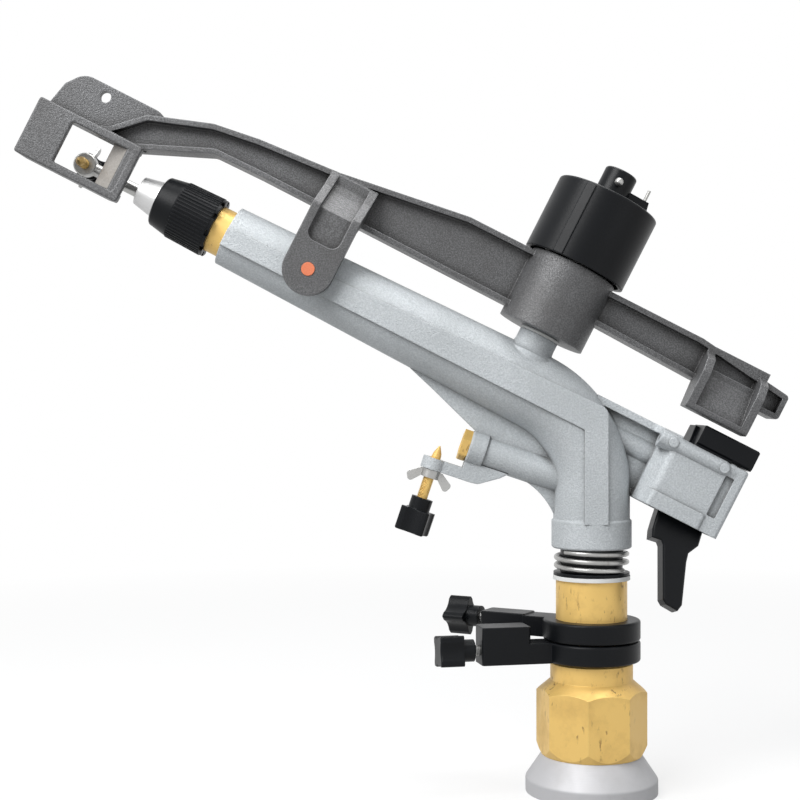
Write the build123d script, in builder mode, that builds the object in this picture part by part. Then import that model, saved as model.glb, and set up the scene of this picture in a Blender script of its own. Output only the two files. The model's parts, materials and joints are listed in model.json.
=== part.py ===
from build123d import *
from math import cos, pi, radians, sin, tan
import os

os.makedirs("parts", exist_ok=True)

# Large impact sprinkler. Millimetres, +Z up, the turning axis is Z.
# The origin is on that axis at the foot of the riser adapter, the barrel points towards -X.

# Clearances
running = 0.05
turning_gap = 0.3
seat_gap = 0.1

# Riser adapter
riser_thread_r = 28.3
riser_thread_len = 12.0
adapter_rim_r = 36.2
adapter_rim_h = 7.5
adapter_h = 20.5
adapter_top_r = 27.4
adapter_rim_round = 2.5

# Brass inlet sleeve: octagon, collar and tube
inlet_thread_r = 23.9
octagon_af = 56.0
octagon_turn = 34.5
octagon_h = 40.7
octagon_foot_h = 5.5
octagon_top_h = 6.6
octagon_chamfer = 0.4
sleeve_collar_r = 22.6
sleeve_collar_h = 10.4
sleeve_r = 19.5
sleeve_tube_h = 44.6

# Hollow spindle and what it carries
waterway_r = 11.6
spindle_r = 15.0
spindle_flange_r = 20.0
spindle_flange_h = 4.5
spindle_thread_len = 22.0
lower_washer_t = 2.0
lower_seal_t = 4.0
white_washer_r = 21.1
white_washer_t = 2.2
black_washer_r = 20.8
black_washer_t = 0.8
sand_sleeve_r = 17.0
sand_spring_r = 19.2
sand_wire_r = 1.4
sand_spring_h = 13.1
sand_spring_turns = 2.3

# Stops
stop_ring_r = 26.7
stop_ring_h = 11.0
stop_arm_w = 16.0
stop_block_start = 37.0
stop_block_end = 64.0
stop_block_rise = 0.8
stop_top_round = 0.5
lower_block_drop = 3.0
stop_screw_up = 7.3
stop_screw_show = 3.2
stop_edge_round = 1.4
stop_screw_r = 2.75
lower_stop_turn = 12.0
upper_stop_turn = -29.0

# Square thumb knobs
knob_side = 16.4
knob_len = 13.0
knob_flute_r = 10.0
knob_flute_depth = 1.2
knob_neck_r = 6.0
knob_neck_len = 6.8
knob_grip = 9.8

# Gun: column, elbow and barrel
column_r = 20.9
casting_collar_r = 21.9
casting_collar_h = 16.0
elbow_bend_r = 58.0
elbow_height = 69.7
barrel_rise = 27.0
barrel_len = 223.5
muzzle_r = 16.8
band_lift = 0.9
band_low = -7.1
band_high_front = 2.8
band_high_bend = 8.6
band_half = 6.4

# Rocker post and shaft, placed along the barrel
arm_at = 46.8
post_top = 28.2
post_r = 11.2
post_foot_r = 15.5
post_foot_top = 17.5
shaft_r = 6.0
shaft_depth = 14.0
shaft_top = 126.0

# Nozzle
seat_r = 13.25
seat_insert = 18.0
seat_front = 31.0
seat_bore_r = 10.6
cap_rear_r = 16.7
cap_shoulder_r = 16.0
cap_front_r = 13.6
cap_gap = 8.6
cap_body_len = 23.6
cap_nose_len = 10.6
cap_notches = 10
cap_notch_w = 3.6
cap_notch_depth = 1.7
cap_lip_t = 3.0
tip_flange_t = 3.6
tip_body_r = 11.2
tip_shoulder_r = 10.4
tip_front_r = 8.0
tip_nose_len = 12.2
jet_r = 6.0
vane_tube_back = 9.5
vane_tube_len = 46.0
vane_tube_t = 0.9
vane_blade_t = 1.2

# Branch tube for the near jet
branch_rise = 18.6
branch_drop = 37.0
branch_r = 8.5
branch_len = 71.2
branch_collar_r = 9.7
branch_collar_len = 9.3
branch_bore_r = 4.5
branch_thread_r = 6.4
branch_thread_len = 11.0
branch_hex_af = 15.4
branch_hex_len = 4.6
branch_jet_r = 3.0
bracket_eye_out = 15.1
bracket_eye_r = 6.9
bracket_t = 6.4
bracket_drop = 12.0
bracket_w = 10.0

# Breaker screws
breaker_screw_r = 2.6
breaker_point_len = 6.0
wing_hub_r = 5.0
wing_hub_h = 4.6
wing_reach = 13.2
wing_t = 1.5
lower_screw_rise = 7.2
lower_screw_out = 16.5
rod_at = 22.0
rod_r = 3.6
rod_front = 93.8
rod_root = 23.0
rod_eye_r = 6.5
rod_eye_t = 8.0
front_screw_tip = 2.0
front_screw_out = 10.0
rod_boss_r = 6.6
rod_boss_low = -7.0
rod_boss_top = 13.0
rod_screw_r = 2.5
rod_screw_head_r = 4.0
rod_screw_head_h = 5.0

# Rocker arm
boss_r = 24.8
boss_foot = 30.0
boss_top = 70.0
bush_r = 9.0
bush_len = 13.0
bush_flange_r = 11.0
bush_flange_t = 1.2
web_t = 5.0
flange_w = 18.0
flange_t = 2.9
box_ahead = 61.3
box_len = 62.2
box_low = -12.3
box_high = 20.6
box_near = 13.0
box_far = 11.0
box_rail_t = 4.4
box_wall_t = 3.4
box_post = 4.3
window_len = 36.2
rail_bevel = 9.5
vane_tip_in = 18.2
vane_tip_near = -1.0
fin_t = 4.6
fin_high = 43.4
fin_hole_r = 3.1
fin_hole_back = 28.7
fin_hole_up = 37.0
lug_back = 49.3
lug_r = 14.0
lug_drop = 2.1
lug_near = 26.5
lug_far = 19.8
rib_w = 4.6
lug_recess = 3.0
lug_pocket_low = 17.0
lug_pocket_r = 5.0
bumper_r = 3.6
fin_round = 11.0
edge_round = 0.8
hook_start = 38.0
hook_end = 74.5
hook_low = 28.6
hook_near = 24.0
hook_far = 9.0

# Spring cap and torsion spring
cap_drum_r = 29.3
cap_drum_foot = 70.4
cap_drum_top = 112.6
cap_drum_wall = 2.4
cap_hub_r = 9.3
cap_hub_top = 129.0
cap_roof_t = 3.0
cap_stripe_w = 5.6
cap_stripe_turn = 63.0
cap_rib_top = 120.9
cap_rib_len = 20.5
cap_rib_w = 4.4
split_pin_at = 121.4
split_pin_r = 1.3
split_ball_r = 2.4
split_pin_tail = 6.0
arm_spring_r = 18.0
arm_wire_r = 0.9
arm_spring_turns = 6.0
arm_spring_room = 2.5
arm_wire_top = 127.0

# Rear housing
housing_start = 44.0
housing_end = 86.5
housing_top = 12.5
housing_low = -27.3
housing_half = 19.0
housing_wall = 3.5
neck_start = 37.0
neck_web_t = 6.0
neck_half = 9.0
neck_low = -24.0
rail_half = 8.0
rail_t = 4.0
rail_top = 14.0
link_boss_r = 6.5
link_boss_v = -2.0
housing_corner_r = 5.0
lip_raise = 1.6
lip_h = 8.6
ridge_w = -17.2
ridge_v = 8.6
ridge_r = 4.2
ridge_end = 72.5
disc_r = 2.7
disc_rise = 0.5
relief_w = 5.0
relief_at = 78.0
relief_top = 5.6
relief_low = -18.0
relief_depth = 2.0
gusset_t = 5.0
hinge_pin_r = 1.5
anvil_pin_v = 8.0
anvil_pin_w = -14.6
anvil_boss_r = 5.0
anvil_slot_near = 18.3
anvil_slot_far = 10.5
anvil_pin_seat = 1.6
trip_pin_seat = 2.5
anvil_knuckle_r = 3.2
anvil_start = 54.0
anvil_end = 87.0
anvil_top = 25.2
anvil_far = 14.0
anvil_near = 17.0
trip_pin_v = -15.0
trip_knuckle_r = 5.2
trip_thick = 11.0
lever_lean = 14.5
lever_bevel = 0.9
toggle_r = 3.0
toggle_wire_r = 0.5

# Places worked out from the sizes above
sleeve_base = adapter_h
collar_base = sleeve_base + octagon_h
collar_top = collar_base + sleeve_collar_h
sleeve_top = collar_top + sleeve_tube_h
white_washer_z = sleeve_top + seat_gap
black_washer_z = white_washer_z + white_washer_t + seat_gap
spring_seat = black_washer_z + 2 * black_washer_t + 2 * seat_gap
casting_foot = spring_seat + sand_spring_h
elbow_z = casting_foot + elbow_height
rise = radians(barrel_rise)
barrel_dir = Vector(-cos(rise), 0, sin(rise))
barrel_up = Vector(sin(rise), 0, cos(rise))
bend_reach = elbow_bend_r * tan(radians(90 - barrel_rise) / 2)
rod_root_at = barrel_len - rod_root
rod_screw_at = rod_root_at + 4
vane_tube_at = barrel_len - seat_insert - vane_tube_back - vane_tube_len
lug_at = barrel_len - lug_back
box_start = barrel_len + box_ahead
box_end = box_start + box_len
bracket_eye_at = branch_len + bracket_eye_out


# The side plane: x runs along the barrel, y square to it, z is the depth, and near is minus
def side(depth=0.0):
    return Plane(origin=(0, depth, elbow_z), x_dir=barrel_dir, z_dir=(0, 1, 0))


def spot(along, up=0.0, depth=0.0):
    return side().from_local_coords((along, up, depth))


# A plane square to the barrel: x points to the near side, y is square to the barrel
def across(along):
    return Plane(origin=spot(along), x_dir=(0, -1, 0), z_dir=barrel_dir)


# A plane square to the rocker shaft: x runs along the barrel, y points to the near side
def level(up, along=None):
    along = arm_at if along is None else along
    return Plane(origin=spot(along, up), x_dir=barrel_dir, z_dir=barrel_up)


# The branch tube's own planes
branch_angle = radians(branch_rise)
branch_dir = Vector(-cos(branch_angle), 0, sin(branch_angle))
branch_up = Vector(sin(branch_angle), 0, cos(branch_angle))
branch_foot = Vector(0, 0, elbow_z - branch_drop)


def branch_side(depth=0.0):
    origin = branch_foot + Vector(0, depth, 0)
    return Plane(origin=origin, x_dir=branch_dir, z_dir=(0, 1, 0))


def branch_across(along):
    return Plane(origin=branch_foot + branch_dir * along, x_dir=(0, -1, 0), z_dir=branch_dir)


# Where a point of the branch tube's side lies in the barrel's side plane
def branch_point(along, up):
    local = side().to_local_coords(branch_foot + branch_dir * along + branch_up * up)
    return (local.X, local.Y)


def branch_level(up, along):
    origin = branch_foot + branch_dir * along + branch_up * up
    return Plane(origin=origin, x_dir=branch_dir, z_dir=branch_up)


# Each piece is labelled and written to its own file
def keep(piece, name):
    piece.label = name
    export_step(piece, f"parts/{name}.step")


# A flat ring on the turning axis
def washer(name, inner, outer, bottom, thickness, count=1):
    with BuildPart() as ring:
        for index in range(count):
            with BuildSketch(Plane.XY.offset(bottom + index * (thickness + seat_gap))):
                Circle(outer)
                Circle(inner, mode=Mode.SUBTRACT)
            extrude(amount=thickness)
    keep(ring.part, name)


# Riser adapter: a cone with a threaded foot and a threaded top
inlet_bore_r = inlet_thread_r + seat_gap
with BuildPart() as riser_adapter:
    with BuildSketch(Plane.XZ):
        with BuildLine():
            Polyline(
                (riser_thread_r, 0),
                (adapter_rim_r, 0),
                (adapter_rim_r, adapter_rim_h),
                (adapter_top_r, adapter_h),
                (inlet_bore_r, adapter_h),
                (inlet_bore_r, riser_thread_len),
                (riser_thread_r, riser_thread_len),
                close=True,
            )
        make_face()
    revolve(axis=Axis.Z)
    fillet(riser_adapter.edges().filter_by(GeomType.CIRCLE).group_by(Axis.Z)[1], adapter_rim_round)
keep(riser_adapter.part, "riser_adapter")

# Inlet sleeve: an octagon turned down at both ends, a collar and the bearing tube
octagon_corner_r = octagon_af / 2 / cos(pi / 8)
flange_room_r = spindle_flange_r + 0.5
sleeve_shoulder = sleeve_base + 14.0
with BuildPart() as inlet_sleeve:
    with BuildSketch(Plane.XY.offset(sleeve_base)):
        RegularPolygon(octagon_af / 2, 8, major_radius=False, rotation=octagon_turn)
    extrude(amount=octagon_h)
    with BuildSketch(Plane.XZ):
        with BuildLine():
            Polyline(
                (0, sleeve_base),
                (octagon_af / 2 - octagon_chamfer, sleeve_base),
                (octagon_corner_r, sleeve_base + octagon_foot_h),
                (octagon_corner_r, collar_base - octagon_top_h),
                (sleeve_collar_r, collar_base),
                (0, collar_base),
                close=True,
            )
        make_face()
    revolve(axis=Axis.Z, mode=Mode.INTERSECT)
    with BuildSketch(Plane.XZ):
        with BuildLine():
            Polyline(
                (0, riser_thread_len),
                (inlet_thread_r, riser_thread_len),
                (inlet_thread_r, sleeve_base),
                (sleeve_collar_r, sleeve_base + 1),
                (sleeve_collar_r, collar_top - 1.2),
                (sleeve_collar_r - 1.2, collar_top),
                (sleeve_r, collar_top),
                (sleeve_r, sleeve_top),
                (0, sleeve_top),
                close=True,
            )
        make_face()
    revolve(axis=Axis.Z)
    with BuildSketch(Plane.XY.offset(riser_thread_len)):
        Circle(flange_room_r)
    extrude(amount=sleeve_shoulder - riser_thread_len, mode=Mode.SUBTRACT)
    with BuildSketch(Plane.XY.offset(sleeve_shoulder)):
        Circle(spindle_r + running)
    extrude(amount=sleeve_top - sleeve_shoulder, mode=Mode.SUBTRACT)
keep(inlet_sleeve.part, "inlet_sleeve")

# Spindle: hollow, flanged below, screwed into the casting above
seal_top = sleeve_shoulder - seat_gap
seal_foot = seal_top - lower_seal_t
washer_foot = seal_foot - turning_gap - lower_washer_t
spindle_foot = washer_foot - seat_gap - spindle_flange_h
spindle_top = casting_foot + spindle_thread_len
with BuildPart() as spindle:
    with BuildSketch(Plane.XZ):
        with BuildLine():
            Polyline(
                (waterway_r, spindle_foot),
                (spindle_flange_r, spindle_foot),
                (spindle_flange_r, spindle_foot + spindle_flange_h),
                (spindle_r, spindle_foot + spindle_flange_h),
                (spindle_r, spindle_top),
                (waterway_r, spindle_top),
                close=True,
            )
        make_face()
    revolve(axis=Axis.Z)
keep(spindle.part, "spindle")

washer_bore_r = spindle_r + running
washer("lower_washer", washer_bore_r, spindle_flange_r, washer_foot, lower_washer_t)
washer("lower_seal", washer_bore_r, spindle_flange_r, seal_foot, lower_seal_t)
washer("white_washer", washer_bore_r, white_washer_r, white_washer_z, white_washer_t)
washer("black_washers", washer_bore_r, black_washer_r, black_washer_z, black_washer_t, 2)
sand_sleeve_h = sand_spring_h - turning_gap
washer("sand_sleeve", washer_bore_r, sand_sleeve_r, spring_seat, sand_sleeve_h)


# A round-wire coil that starts in the plane given and climbs along its axis
def coil(plane, coil_r, wire_r, height, turns):
    with BuildPart() as spring:
        with BuildLine() as path:
            Helix(height / turns, height, coil_r)
        with BuildSketch(Plane(origin=path.line @ 0, z_dir=path.line % 0)):
            Circle(wire_r)
        sweep(path=path.line, is_frenet=True)
    return plane * spring.part


sand_coil_h = sand_spring_h - 2 * sand_wire_r - 2 * seat_gap
sand_coil_plane = Plane.XY.offset(spring_seat + seat_gap + sand_wire_r)
sand_spring = coil(sand_coil_plane, sand_spring_r, sand_wire_r, sand_coil_h, sand_spring_turns)
keep(sand_spring, "sand_spring")


# Thumb screws are drawn from the tip outwards, along +Z of their own plane
def thumb_knob(plane, shank_end, screw_r):
    neck_foot = shank_end - knob_grip
    with BuildPart() as knob:
        with BuildSketch(Plane.XY.offset(neck_foot)):
            Circle(knob_neck_r)
        extrude(amount=knob_neck_len)
        with BuildSketch(Plane.XY.offset(neck_foot + knob_neck_len)) as head:
            Rectangle(knob_side, knob_side)
            fillet(head.vertices(), 1.6)
            with PolarLocations(knob_side / 2 + knob_flute_r - knob_flute_depth, 4):
                Circle(knob_flute_r, mode=Mode.SUBTRACT)
        extrude(amount=knob_len)
        chamfer(knob.faces().sort_by(Axis.Z)[-1].edges(), 0.6)
        with BuildSketch(Plane.XY.offset(neck_foot)):
            Circle(screw_r + running)
        extrude(amount=shank_end - neck_foot + turning_gap, mode=Mode.SUBTRACT)
    return plane * knob.part


def pointed_screw(plane, length, screw_r, point_len):
    with BuildPart() as screw:
        with BuildSketch(Plane.XZ):
            with BuildLine():
                Polyline(
                    (0, 0),
                    (0.4, 0),
                    (screw_r - 0.3, point_len * 0.7),
                    (screw_r, point_len),
                    (screw_r, length),
                    (0, length),
                    close=True,
                )
            make_face()
        revolve(axis=Axis.Z)
    return plane * screw.part


def wing_nut(plane, foot, screw_r):
    wing_start = wing_hub_r - 1.5
    with BuildPart() as nut:
        Cylinder(wing_hub_r, wing_hub_h, align=(Align.CENTER, Align.CENTER, Align.MIN))
        with BuildSketch(Plane.XZ) as wings:
            with BuildLine():
                Polyline(
                    (wing_start, 0.4),
                    (wing_hub_r + 1.2, 0.4),
                    (wing_reach, 5.2),
                    (wing_reach - 2.6, 10.4),
                    (wing_hub_r, wing_hub_h),
                    (wing_start, wing_hub_h),
                    close=True,
                )
            make_face()
            fillet(wings.vertices().sort_by(Axis.X)[-2:], 1.7)
            mirror(about=Plane.YZ)
        extrude(amount=wing_t / 2, both=True)
        with BuildSketch(Plane.XY):
            Circle(screw_r + running)
        extrude(amount=wing_hub_h, mode=Mode.SUBTRACT)
    return plane * Pos(0, 0, foot) * nut.part


# Stop: a ring on the tube with a radial arm and a tall block that the trip lever meets.
# Its thumb screw bears on the tube through the block.
stop_bore_r = sleeve_r + running * 2
stop_pitch = stop_ring_h + 0.5
lower_stop_z = collar_top + turning_gap
upper_stop_z = lower_stop_z + stop_pitch
stop_block_top = upper_stop_z + stop_ring_h + stop_block_rise


def stop_ring(foot, turn, block_drop):
    arm_start = stop_ring_r - 4
    with BuildPart() as ring:
        Cylinder(stop_ring_r, stop_ring_h, align=(Align.CENTER, Align.CENTER, Align.MIN))
        fillet(ring.edges().filter_by(GeomType.CIRCLE), stop_edge_round)
        with BuildSketch(Plane.XY) as arm:
            with Locations(((arm_start + stop_block_start) / 2, 0)):
                Rectangle(stop_block_start - arm_start + 2, stop_arm_w)
        extrude(amount=stop_ring_h)
        with BuildSketch(Plane.XY) as block:
            with Locations(((stop_block_start + stop_block_end) / 2, 0)):
                Rectangle(stop_block_end - stop_block_start, stop_arm_w)
            fillet(block.vertices(), 1.6)
        extrude(amount=stop_block_top - foot - block_drop)
        fillet(ring.faces().sort_by(Axis.Z)[-1].edges(), stop_top_round)
        with BuildSketch(Plane.XY):
            Circle(stop_bore_r)
        extrude(amount=stop_ring_h, mode=Mode.SUBTRACT)
        with BuildSketch(Plane.YZ.offset(stop_bore_r - 2)):
            with Locations((0, stop_screw_up)):
                Circle(stop_screw_r + running)
        extrude(amount=stop_block_end, mode=Mode.SUBTRACT)
    return Pos(0, 0, foot) * Rot(0, 0, 180 + turn) * ring.part


# The plane of a stop's screw: its origin is the tip, just off the tube
def stop_screw_plane(foot, turn):
    bearing = radians(180 + turn)
    outward = Vector(cos(bearing), sin(bearing), 0)
    origin = outward * (sleeve_r + turning_gap) + Vector(0, 0, foot + stop_screw_up)
    return Plane(origin=origin, x_dir=(0, 0, 1), z_dir=outward)


stop_neck_foot = stop_block_end + stop_screw_show
stop_screw_len = stop_neck_foot - sleeve_r - turning_gap + knob_grip
for name, foot, turn, block_drop, knob_turn in (
    ("lower", lower_stop_z, lower_stop_turn, lower_block_drop, 8),
    ("upper", upper_stop_z, upper_stop_turn, 0.0, 45),
):
    keep(stop_ring(foot, turn, block_drop), f"{name}_stop_ring")
    screw_plane = stop_screw_plane(foot, turn)
    screw = pointed_screw(screw_plane, stop_screw_len, stop_screw_r, 1.0)
    keep(screw, f"{name}_stop_screw")
    knob_plane = screw_plane * Rot(0, 0, knob_turn)
    keep(thumb_knob(knob_plane, stop_screw_len, stop_screw_r), f"{name}_stop_knob")


# Where a line along the barrel, at a height over its axis, crosses an upright line
def crossing(x, up):
    return ((up * sin(rise) - x) / cos(rise), up)


# Where an upright line stands at a height in the side plane
def upright(x, z):
    local = side().to_local_coords(Vector(x, 0, z))
    return (local.X, local.Y)


# The other way round: X and Z of a point in the side plane
def upright_point(along, up):
    point = spot(along, up)
    return (point.X, point.Z)


# Raised band on the near flank, flush along the column and tapering with the barrel
collar_z = casting_foot + casting_collar_h
muzzle_up = muzzle_r + band_lift
bend_up = column_r + band_lift
with BuildPart() as flank_band:
    with BuildSketch(side(-bend_up)) as band:
        with BuildLine():
            Polyline(
                (barrel_len, band_high_front),
                crossing(band_half, band_high_bend),
                upright(band_half, collar_z - 2),
                upright(-band_half, collar_z - 2),
                crossing(-band_half, band_low),
                (barrel_len, band_low),
                close=True,
            )
        make_face()
        fillet(band.vertices().sort_by(Axis.X)[2], 5.5)
    extrude(amount=bend_up - waterway_r - 1)
    with BuildSketch(level(-boss_r, 0)):
        with BuildLine():
            Polyline(
                (bend_reach, bend_up),
                (barrel_len, muzzle_up),
                (barrel_len, bend_up + 1),
                (bend_reach, bend_up + 1),
                close=True,
            )
        make_face()
    extrude(amount=2 * boss_r, mode=Mode.SUBTRACT)

# Branch tube with the collar of its nozzle and the strap that carries the lower breaker screw
branch_end_t = -bracket_drop - bracket_t
strap_start = branch_len - 25
with BuildPart() as branch:
    with BuildSketch(branch_across(waterway_r + 2)):
        Circle(branch_r)
    extrude(amount=branch_len - waterway_r - 2)
    with BuildSketch(branch_across(branch_len - branch_collar_len)):
        Circle(branch_collar_r)
    extrude(amount=branch_collar_len)
    chamfer(branch.faces().sort_by(Axis.X)[0].edges(), 0.8)
    with BuildSketch(branch_side()):
        with BuildLine():
            Polyline(
                (bracket_eye_at, -bracket_drop),
                (branch_len - 0.2, -bracket_drop),
                (branch_len - 0.2, -branch_r),
                (branch_len - 4, 1 - branch_r),
                (strap_start, 1 - branch_r),
                (strap_start + 3.5, -bracket_drop + 1),
                (strap_start + 14, branch_end_t + 0.5),
                (strap_start + 18, branch_end_t),
                (bracket_eye_at, branch_end_t),
                close=True,
            )
        make_face()
    extrude(amount=bracket_w / 2, both=True)
    with BuildSketch(branch_level(branch_end_t, bracket_eye_at)):
        Circle(bracket_eye_r)
    extrude(amount=bracket_t)

# Rear housing: a box hung behind the column, open below, with the tubular boss of the anvil pin
cavity_top = housing_top - housing_wall - 1
cavity_start = housing_start + housing_wall
cavity_end = housing_end - housing_wall
cavity_half = housing_half - housing_wall
anvil_boss_start = 35.0
anvil_boss_end = 78.0
anvil_slot_start = anvil_start - turning_gap
anvil_slot_end = anvil_boss_end - 2
with BuildPart() as housing:
    with BuildSketch(level(housing_low, 0)) as plan:
        with BuildLine():
            Polyline(
                (-neck_start, neck_half),
                (-housing_start, housing_half),
                (-housing_end, housing_half),
                (-housing_end, -housing_half),
                (-housing_start, -housing_half),
                (-neck_start, -neck_half),
                close=True,
            )
        make_face()
        fillet(plan.vertices().group_by(Axis.X)[1], housing_corner_r)
        fillet(plan.vertices().group_by(Axis.X)[0], 2.4)
    extrude(amount=housing_top - housing_low)
    fillet(housing.faces().sort_by(Axis(spot(0), barrel_up))[-1].edges(), 1.6)
    with BuildSketch(level(housing_low, 0)) as lip:
        with BuildLine():
            Polyline(
                (-neck_start - 2, neck_half + 1.5),
                (-housing_start, housing_half + lip_raise),
                (relief_w / 2 - relief_at, housing_half + lip_raise),
                (relief_w / 2 - relief_at, -housing_half - lip_raise),
                (-housing_start, -housing_half - lip_raise),
                (-neck_start - 2, -neck_half - 1.5),
                close=True,
            )
        make_face()
        fillet(lip.vertices(), 2.4)
    extrude(amount=lip_h)
    with BuildSketch(across(-ridge_end)):
        with Locations((-ridge_w, ridge_v)):
            Circle(ridge_r)
    extrude(amount=ridge_end - anvil_boss_start)
    with Locations(spot(-ridge_end, ridge_v, ridge_w)):
        Sphere(ridge_r)
    with BuildSketch(side(ridge_w)):
        with Locations((-ridge_end, ridge_v), (-neck_start - 5, ridge_v)):
            Circle(disc_r)
    extrude(amount=-ridge_r - disc_rise)
    with BuildSketch(across(-anvil_boss_end)):
        with Locations((-anvil_pin_w, anvil_pin_v)):
            Circle(anvil_boss_r)
    extrude(amount=anvil_boss_end - anvil_boss_start)
    with Locations(spot(-anvil_boss_end, anvil_pin_v, anvil_pin_w)):
        Sphere(anvil_boss_r)
    with BuildSketch(level(housing_low, 0)) as cavity:
        with BuildLine():
            Polyline(
                (-cavity_start, cavity_half),
                (-cavity_end, cavity_half),
                (-cavity_end, -cavity_half),
                (-cavity_start, -cavity_half),
                close=True,
            )
        make_face()
        fillet(cavity.vertices(), 2.0)
    extrude(amount=cavity_top - housing_low, mode=Mode.SUBTRACT)
    with BuildSketch(side(-housing_half - lip_raise)) as relief:
        with Locations((-relief_at, (relief_top + relief_low) / 2)):
            Rectangle(relief_w, relief_top - relief_low)
        fillet(relief.vertices(), 0.8)
    extrude(amount=lip_raise + relief_depth, mode=Mode.SUBTRACT)
    with BuildSketch(level(cavity_top - 6, 0)):
        with BuildLine():
            Polyline(
                (-anvil_slot_start, anvil_slot_near),
                (-anvil_slot_end, anvil_slot_near),
                (-anvil_slot_end, anvil_slot_far),
                (-anvil_slot_start, anvil_slot_far),
                close=True,
            )
        make_face()
    extrude(amount=housing_top - cavity_top + 12, mode=Mode.SUBTRACT)

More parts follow.
